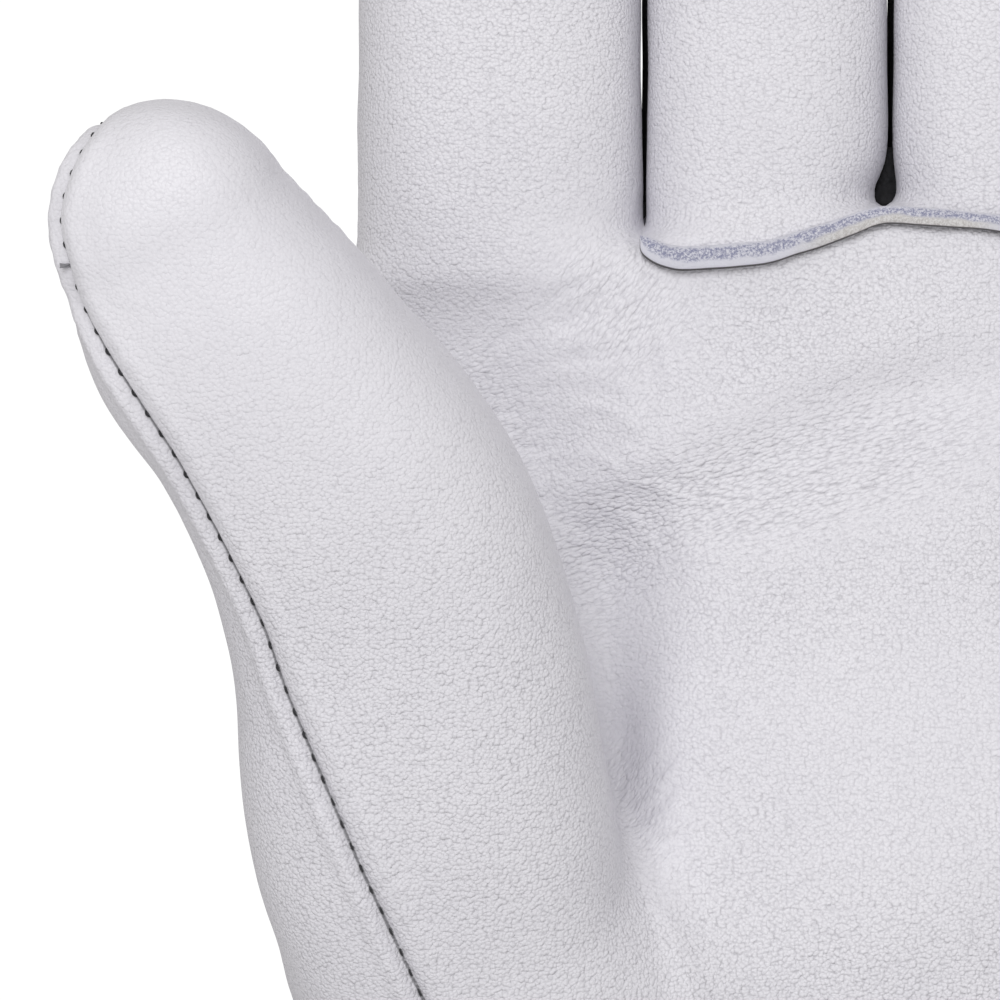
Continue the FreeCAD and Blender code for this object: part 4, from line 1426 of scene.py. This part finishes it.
def build_threads(skin, material):
    """Stitches along the side seams of the skin, one piece for each body zone."""
    normals = vertex_normals(skin.verts, skin.tris)
    zone_of = np.zeros(len(skin.verts), int)
    for corner in range(3):
        np.maximum.at(zone_of, skin.tris[:, corner], skin.zone)
    places, ways, ups, zones = [], [], [], []
    for kind, edges in seam_edges(skin).items():
        if kind != "side":
            continue
        for line in chains(edges):
            if len(line) < 14:
                continue
            points = smoothed(skin.verts[line], 4)
            at_points, at = resample(points + 0.1 * normals[line], STITCH_PITCH)
            even, steps = resample(smoothed(points, 8), 0.6)
            slope = np.gradient(smoothed(even), axis=0)
            normal = normals[line]
            index = np.arange(len(line))
            places.append(at_points)
            ways.append(np.stack([np.interp(at, steps, slope[:, i]) for i in range(3)], 1))
            ups.append(np.stack([np.interp(at, index, normal[:, i]) for i in range(3)], 1))
            zones.append(zone_of[np.array(line)[at.astype(int)]])
    places, ways, ups, zones = np.vstack(places), np.vstack(ways), np.vstack(ups), np.concatenate(zones)
    for number, zone in enumerate(ZONES):
        rows = zones == number
        if rows.any():
            verts, tris = thread_mesh(places[rows], ways[rows], ups[rows], 0.85, 0.12)
            place(make_mesh("stitches_" + zone, verts, tris, material), zone, "black_fourchette")


def wrist_threads(skin):
    """Two rows of stitches round the wrist, where the hand's leather laps over the cuff."""
    normals = vertex_normals(skin.verts, skin.tris)
    places, ways, ups = [], [], []
    for height in (117.2, 120.4):
        rows = np.where(np.abs(skin.verts[:, 2] - height) < 0.45)[0]
        rows = rows[np.argsort(np.arctan2(skin.verts[rows, 1], skin.verts[rows, 0]))]
        line = smoothed(skin.verts[rows] * (1, 1, 0) + (0, 0, height), 12)
        points, at = resample(line, 3.0)
        index = np.arange(len(line))
        places.append(points)
        wide = np.gradient(points, axis=0)
        ways.append(wide)
        ups.append(np.stack([np.interp(at, index, normals[rows][:, i]) for i in range(3)], 1))
    return np.vstack(places), np.vstack(ways), np.vstack(ups)


def build_all():
    materials = {
        "goatskin": goatskin_material(),
        "black_fourchette": black_material(),
        "split_leather": split_material("split_leather", (0.7, 0.685, 0.675), (0.54, 0.525, 0.515)),
        "hem_binding": split_material("hem_binding", (0.66, 0.65, 0.665), (0.5, 0.49, 0.5)),
        "raw_edge": raw_edge_material(),
        "thread": thread_material(),
    }
    skin, palm_flap, thumb_flap = build_skin()
    distance, kind = sew(skin)
    flaps = [("palm_under_thumb", palm_flap, "hand"), ("thumb_under_palm", thumb_flap, "thumb_low")]
    build_panels(skin, flaps, distance, kind, materials)
    build_threads(skin, materials["thread"])
    place(build_lip(skin, materials["raw_edge"]), "hand", "raw_edge", "finger_base_seam_edge")
    for number, gap in enumerate(GAPS):
        name = "fourchette_foot_%s_%s" % FINGER_NAMES[number : number + 2]
        place(build_web(name, gap, materials["black_fourchette"]), "hand", "black_fourchette")
    for name, start in (("cuff_front", math.pi), ("cuff_back", 0.0)):
        place(build_cuff(name, start, materials["split_leather"]), "hand", "split_leather", name)
    place(build_binding(materials["hem_binding"]), "hand", "hem_binding", "hem_binding")
    for name, rows in (("stitches_cuff", cuff_threads()), ("stitches_wrist", wrist_threads(skin))):
        verts, tris = thread_mesh(*rows, 2.1, 0.24)
        place(make_mesh(name, verts, tris, materials["thread"]), "hand", "black_fourchette")


# ---------------------------------------------------------------- studio


WORLD_LIGHT = 0.47
KEY_WATTS = 8.1
FILL_WATTS = 1.2
SENSOR_MM = 36.0
PICTURE_WIDTH = 0.1  # metres of the glove that the photo spans
CAMERA_AT = (-0.0385, -0.75, 0.214)
FRONT_DISTANCE = 0.735  # from the camera to the front of the palm


def area_light(name, at, towards, size, watts):
    data = bpy.data.lights.new(name, "AREA")
    data.size = size
    data.energy = watts
    light = bpy.data.objects.new(name, data)
    light.location = at
    light.rotation_euler = (Vector(towards) - Vector(at)).to_track_quat("-Z", "Y").to_euler()
    bpy.context.scene.collection.objects.link(light)


def studio():
    """White background for the camera, pale floor, a broad key light, a weak fill light, the camera."""
    world = bpy.data.worlds.new("studio")
    world.use_nodes = True
    tree = world.node_tree
    light = tree.nodes["Background"]
    light.inputs["Color"].default_value = (1.0, 0.98, 0.965, 1)
    light.inputs["Strength"].default_value = WORLD_LIGHT
    white = tree.nodes.new("ShaderNodeBackground")
    white.inputs["Color"].default_value = (1, 1, 1, 1)
    white.inputs["Strength"].default_value = 1.05
    seen = tree.nodes.new("ShaderNodeLightPath")
    choose = tree.nodes.new("ShaderNodeMixShader")
    tree.links.new(seen.outputs["Is Camera Ray"], choose.inputs[0])
    tree.links.new(light.outputs[0], choose.inputs[1])
    tree.links.new(white.outputs[0], choose.inputs[2])
    tree.links.new(choose.outputs[0], tree.nodes["World Output"].inputs["Surface"])
    bpy.context.scene.world = world
    bpy.context.scene.view_settings.view_transform = "Standard"

    area_light("key", (-0.3, -1.1, 0.88), (-0.03, 0, 0.21), 0.7, KEY_WATTS)
    area_light("fill", (0.9, -0.9, 0.5), (0, 0, 0.2), 0.9, FILL_WATTS)

    bpy.ops.mesh.primitive_circle_add(vertices=96, radius=1.3, fill_type="NGON", location=(0, 0, 0))
    floor = bpy.context.object
    floor.name = "floor"
    shader = Shader("floor", 0.7, Specular_IOR_Level=0.2)
    at = shader.node("TexCoord", 3)
    tone = shader.mix(shader.noise(at, 3.0, 3.0), rgba((0.86, 0.86, 0.87)), rgba((0.9, 0.9, 0.9)))
    floor.data.materials.append(shader.finish(tone, shader.noise(at, 400.0, 2.0), 0.05))

    data = bpy.data.cameras.new("camera")
    data.sensor_width = SENSOR_MM
    data.lens = SENSOR_MM * FRONT_DISTANCE / PICTURE_WIDTH
    camera = bpy.data.objects.new("camera", data)
    camera.location = CAMERA_AT
    camera.rotation_euler = (math.pi / 2, 0, 0)
    bpy.context.scene.collection.objects.link(camera)
    bpy.context.scene.camera = camera


build_all()
studio()


def plain(box):
    return [[float(value) for value in corner] for corner in box]
